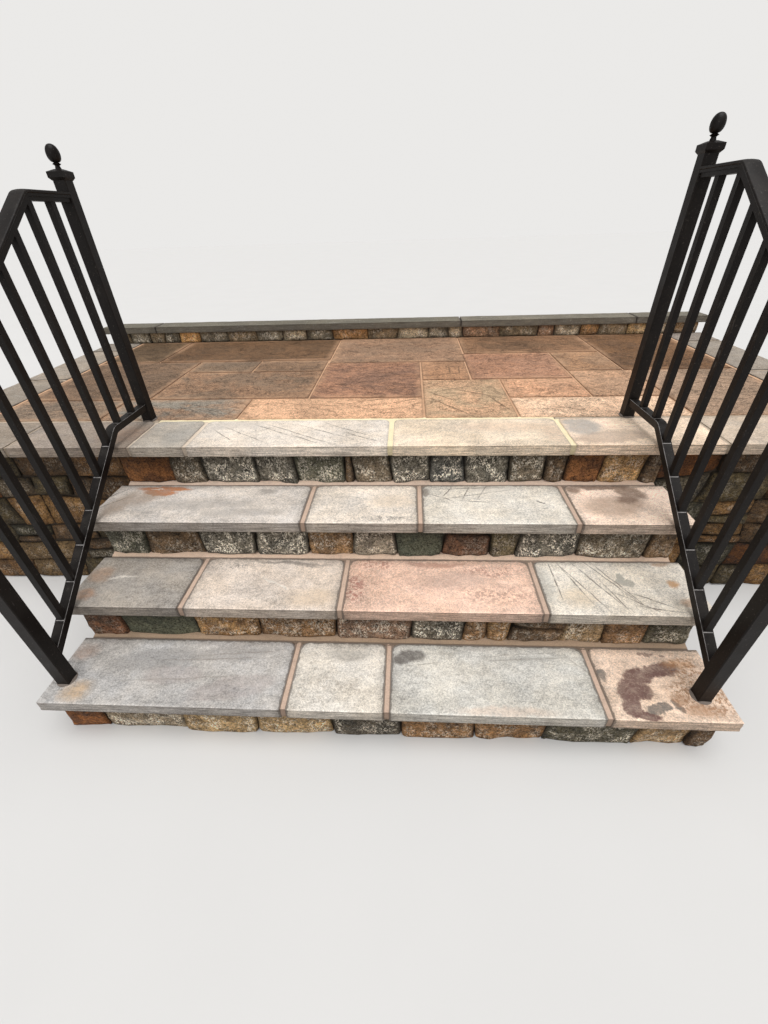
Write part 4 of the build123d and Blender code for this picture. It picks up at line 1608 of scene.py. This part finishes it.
# grout round the feet of the posts: a low ring, drawn up from a disc
collarShape = {
    "radius": 0.037,
    "sides": 40,
    "rings": 3,
    "inset": 0.004,
    "proud": 0.004,
    "flat": 0.9,         # a face that looks up this much belongs to the top
    "rough": ((0.012, 2, 0.003),),
    "tone": (0.20, 0.165, 0.14),
}


def addCollars():
    collars = []
    for name in ("post_low_left", "post_low_right", "post_high_left", "post_high_right"):
        low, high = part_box(name)
        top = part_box("tread_1" if "low" in name else "landing_edge")[1].z
        bpy.ops.object.select_all(action="DESELECT")
        bpy.ops.mesh.primitive_cylinder_add(
            vertices=collarShape["sides"], radius=collarShape["radius"], depth=top - low.z,
            location=((low.x + high.x) / 2, (low.y + high.y) / 2, (top + low.z) / 2),
        )
        collar = bpy.context.object
        bpy.ops.object.transform_apply(location=True, rotation=True, scale=True)
        startEditing("DESELECT")
        stopEditing()
        for face in collar.data.polygons:
            face.select = face.normal.z > collarShape["flat"]
        bpy.ops.object.mode_set(mode="EDIT")
        for _ in range(collarShape["rings"]):
            bpy.ops.mesh.inset(thickness=collarShape["inset"])
            lift = collarShape["proud"] / collarShape["rings"]
            bpy.ops.transform.translate(value=(0, 0, lift))
        stopEditing()
        collars.append(collar)
    collar = joinAs("postCollars", collars)
    storeTone(collar, collarShape["tone"])
    storeValue(collar, "rim", 1.0)
    roughen(collar, collarShape["rough"])
    finishPiece(collar, mortarFinish, ("post_collars",))


addCollars()
print("post feet grouted")


# railings and hidden masses keep their solids and take a finish
barPlaces = {"first": -0.4478, "pitch": 0.1208}
railFinishes = {}
for side, inner in (("left", 1), ("right", 0)):
    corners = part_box(f"lower_rail_{side}")
    foot = ((corners[0].x + corners[1].x) / 2, barPlaces["first"], barPlaces["pitch"])
    paintedHighlight = makeIronFinish(f"highlitIron{side.capitalize()}", corners[inner].x, foot)
    railFinishes[f"lower_rail_{side}"] = paintedHighlight
ironNodes = ("bars_", "handrail_", "top_channel_", "post_high_", "post_low_", "post_caps_")
for nodeName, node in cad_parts.items():
    finish = railFinishes.get(nodeName)
    if nodeName.startswith(ironNodes):
        finish = ironFinish
    elif nodeName in ("flight_core", "porch_core"):
        finish = masonryFinish
    if finish:
        node.data.materials.clear()
        node.data.materials.append(finish)
print("railings painted")


# plain pale floor, a pale world and soft lamps
studio = {
    "floor": (0.655, 0.648, 0.637),
    "floorBounce": (0.29, 0.245, 0.20),   # what the floor throws back on the stone
    "background": (0.83, 0.82, 0.805),
    "ambient": 0.48,
    "overhead": 2.30,
    "front": 0.70,
}


def seenBy(tree, *rays):
    # 1 for what rays of the given kinds meet
    path = put(tree, "LightPath")
    return fold(tree, "MAXIMUM", [path.outputs[f"Is {ray} Ray"] for ray in rays])


def addStudio():
    bpy.ops.object.select_all(action="DESELECT")
    bpy.ops.mesh.primitive_plane_add(size=80)
    floor = bpy.context.object
    floor.name = "floor"
    material, tree, shader = startMaterial("paleFloor")
    shade = spread(tree, cloudy(tree, objectPlace(tree), 1.5, 3), 0.3, 0.7, 0.985, 1.0)
    seen = seenBy(tree, "Camera", "Glossy")
    colour = blend(tree, seen, studio["floorBounce"], studio["floor"])
    tree.links.new(brighten(tree, colour, shade), shader.inputs["Base Color"])
    shader.inputs["Roughness"].default_value = 0.95
    shader.inputs["Specular IOR Level"].default_value = 0.1
    floor.data.materials.append(material)

    world = bpy.data.worlds.new("paleRoom")
    bpy.context.scene.world = world
    world.use_nodes = True
    tree = world.node_tree
    tree.nodes.clear()
    seen = seenBy(tree, "Camera", "Transmission")
    around = put(tree, "Background", {"Color": (1.0, 0.99, 0.98, 1), "Strength": studio["ambient"]})
    shown = put(tree, "Background", {"Color": (*studio["background"], 1), "Strength": 1.0})
    joined = put(tree, "MixShader", {0: seen, 1: around.outputs[0], 2: shown.outputs[0]})
    put(tree, "OutputWorld", {"Surface": joined.outputs[0]})

    for name, aim, spreadAngle, strength in (
        ("overhead", (-0.10, 0.20, -1.0), 50, studio["overhead"]),
        ("front", (0.35, 1.0, -0.45), 70, studio["front"]),
    ):
        bpy.ops.object.light_add(type="SUN", location=(0, 0, 4))
        lamp = bpy.context.object
        lamp.name = name
        lamp.data.angle = math.radians(spreadAngle)
        lamp.data.energy = strength
        lamp.rotation_euler = Vector(aim).to_track_quat("-Z", "Y").to_euler()


addStudio()
bpy.context.scene.view_settings.view_transform = "Standard"
print("studio lit")
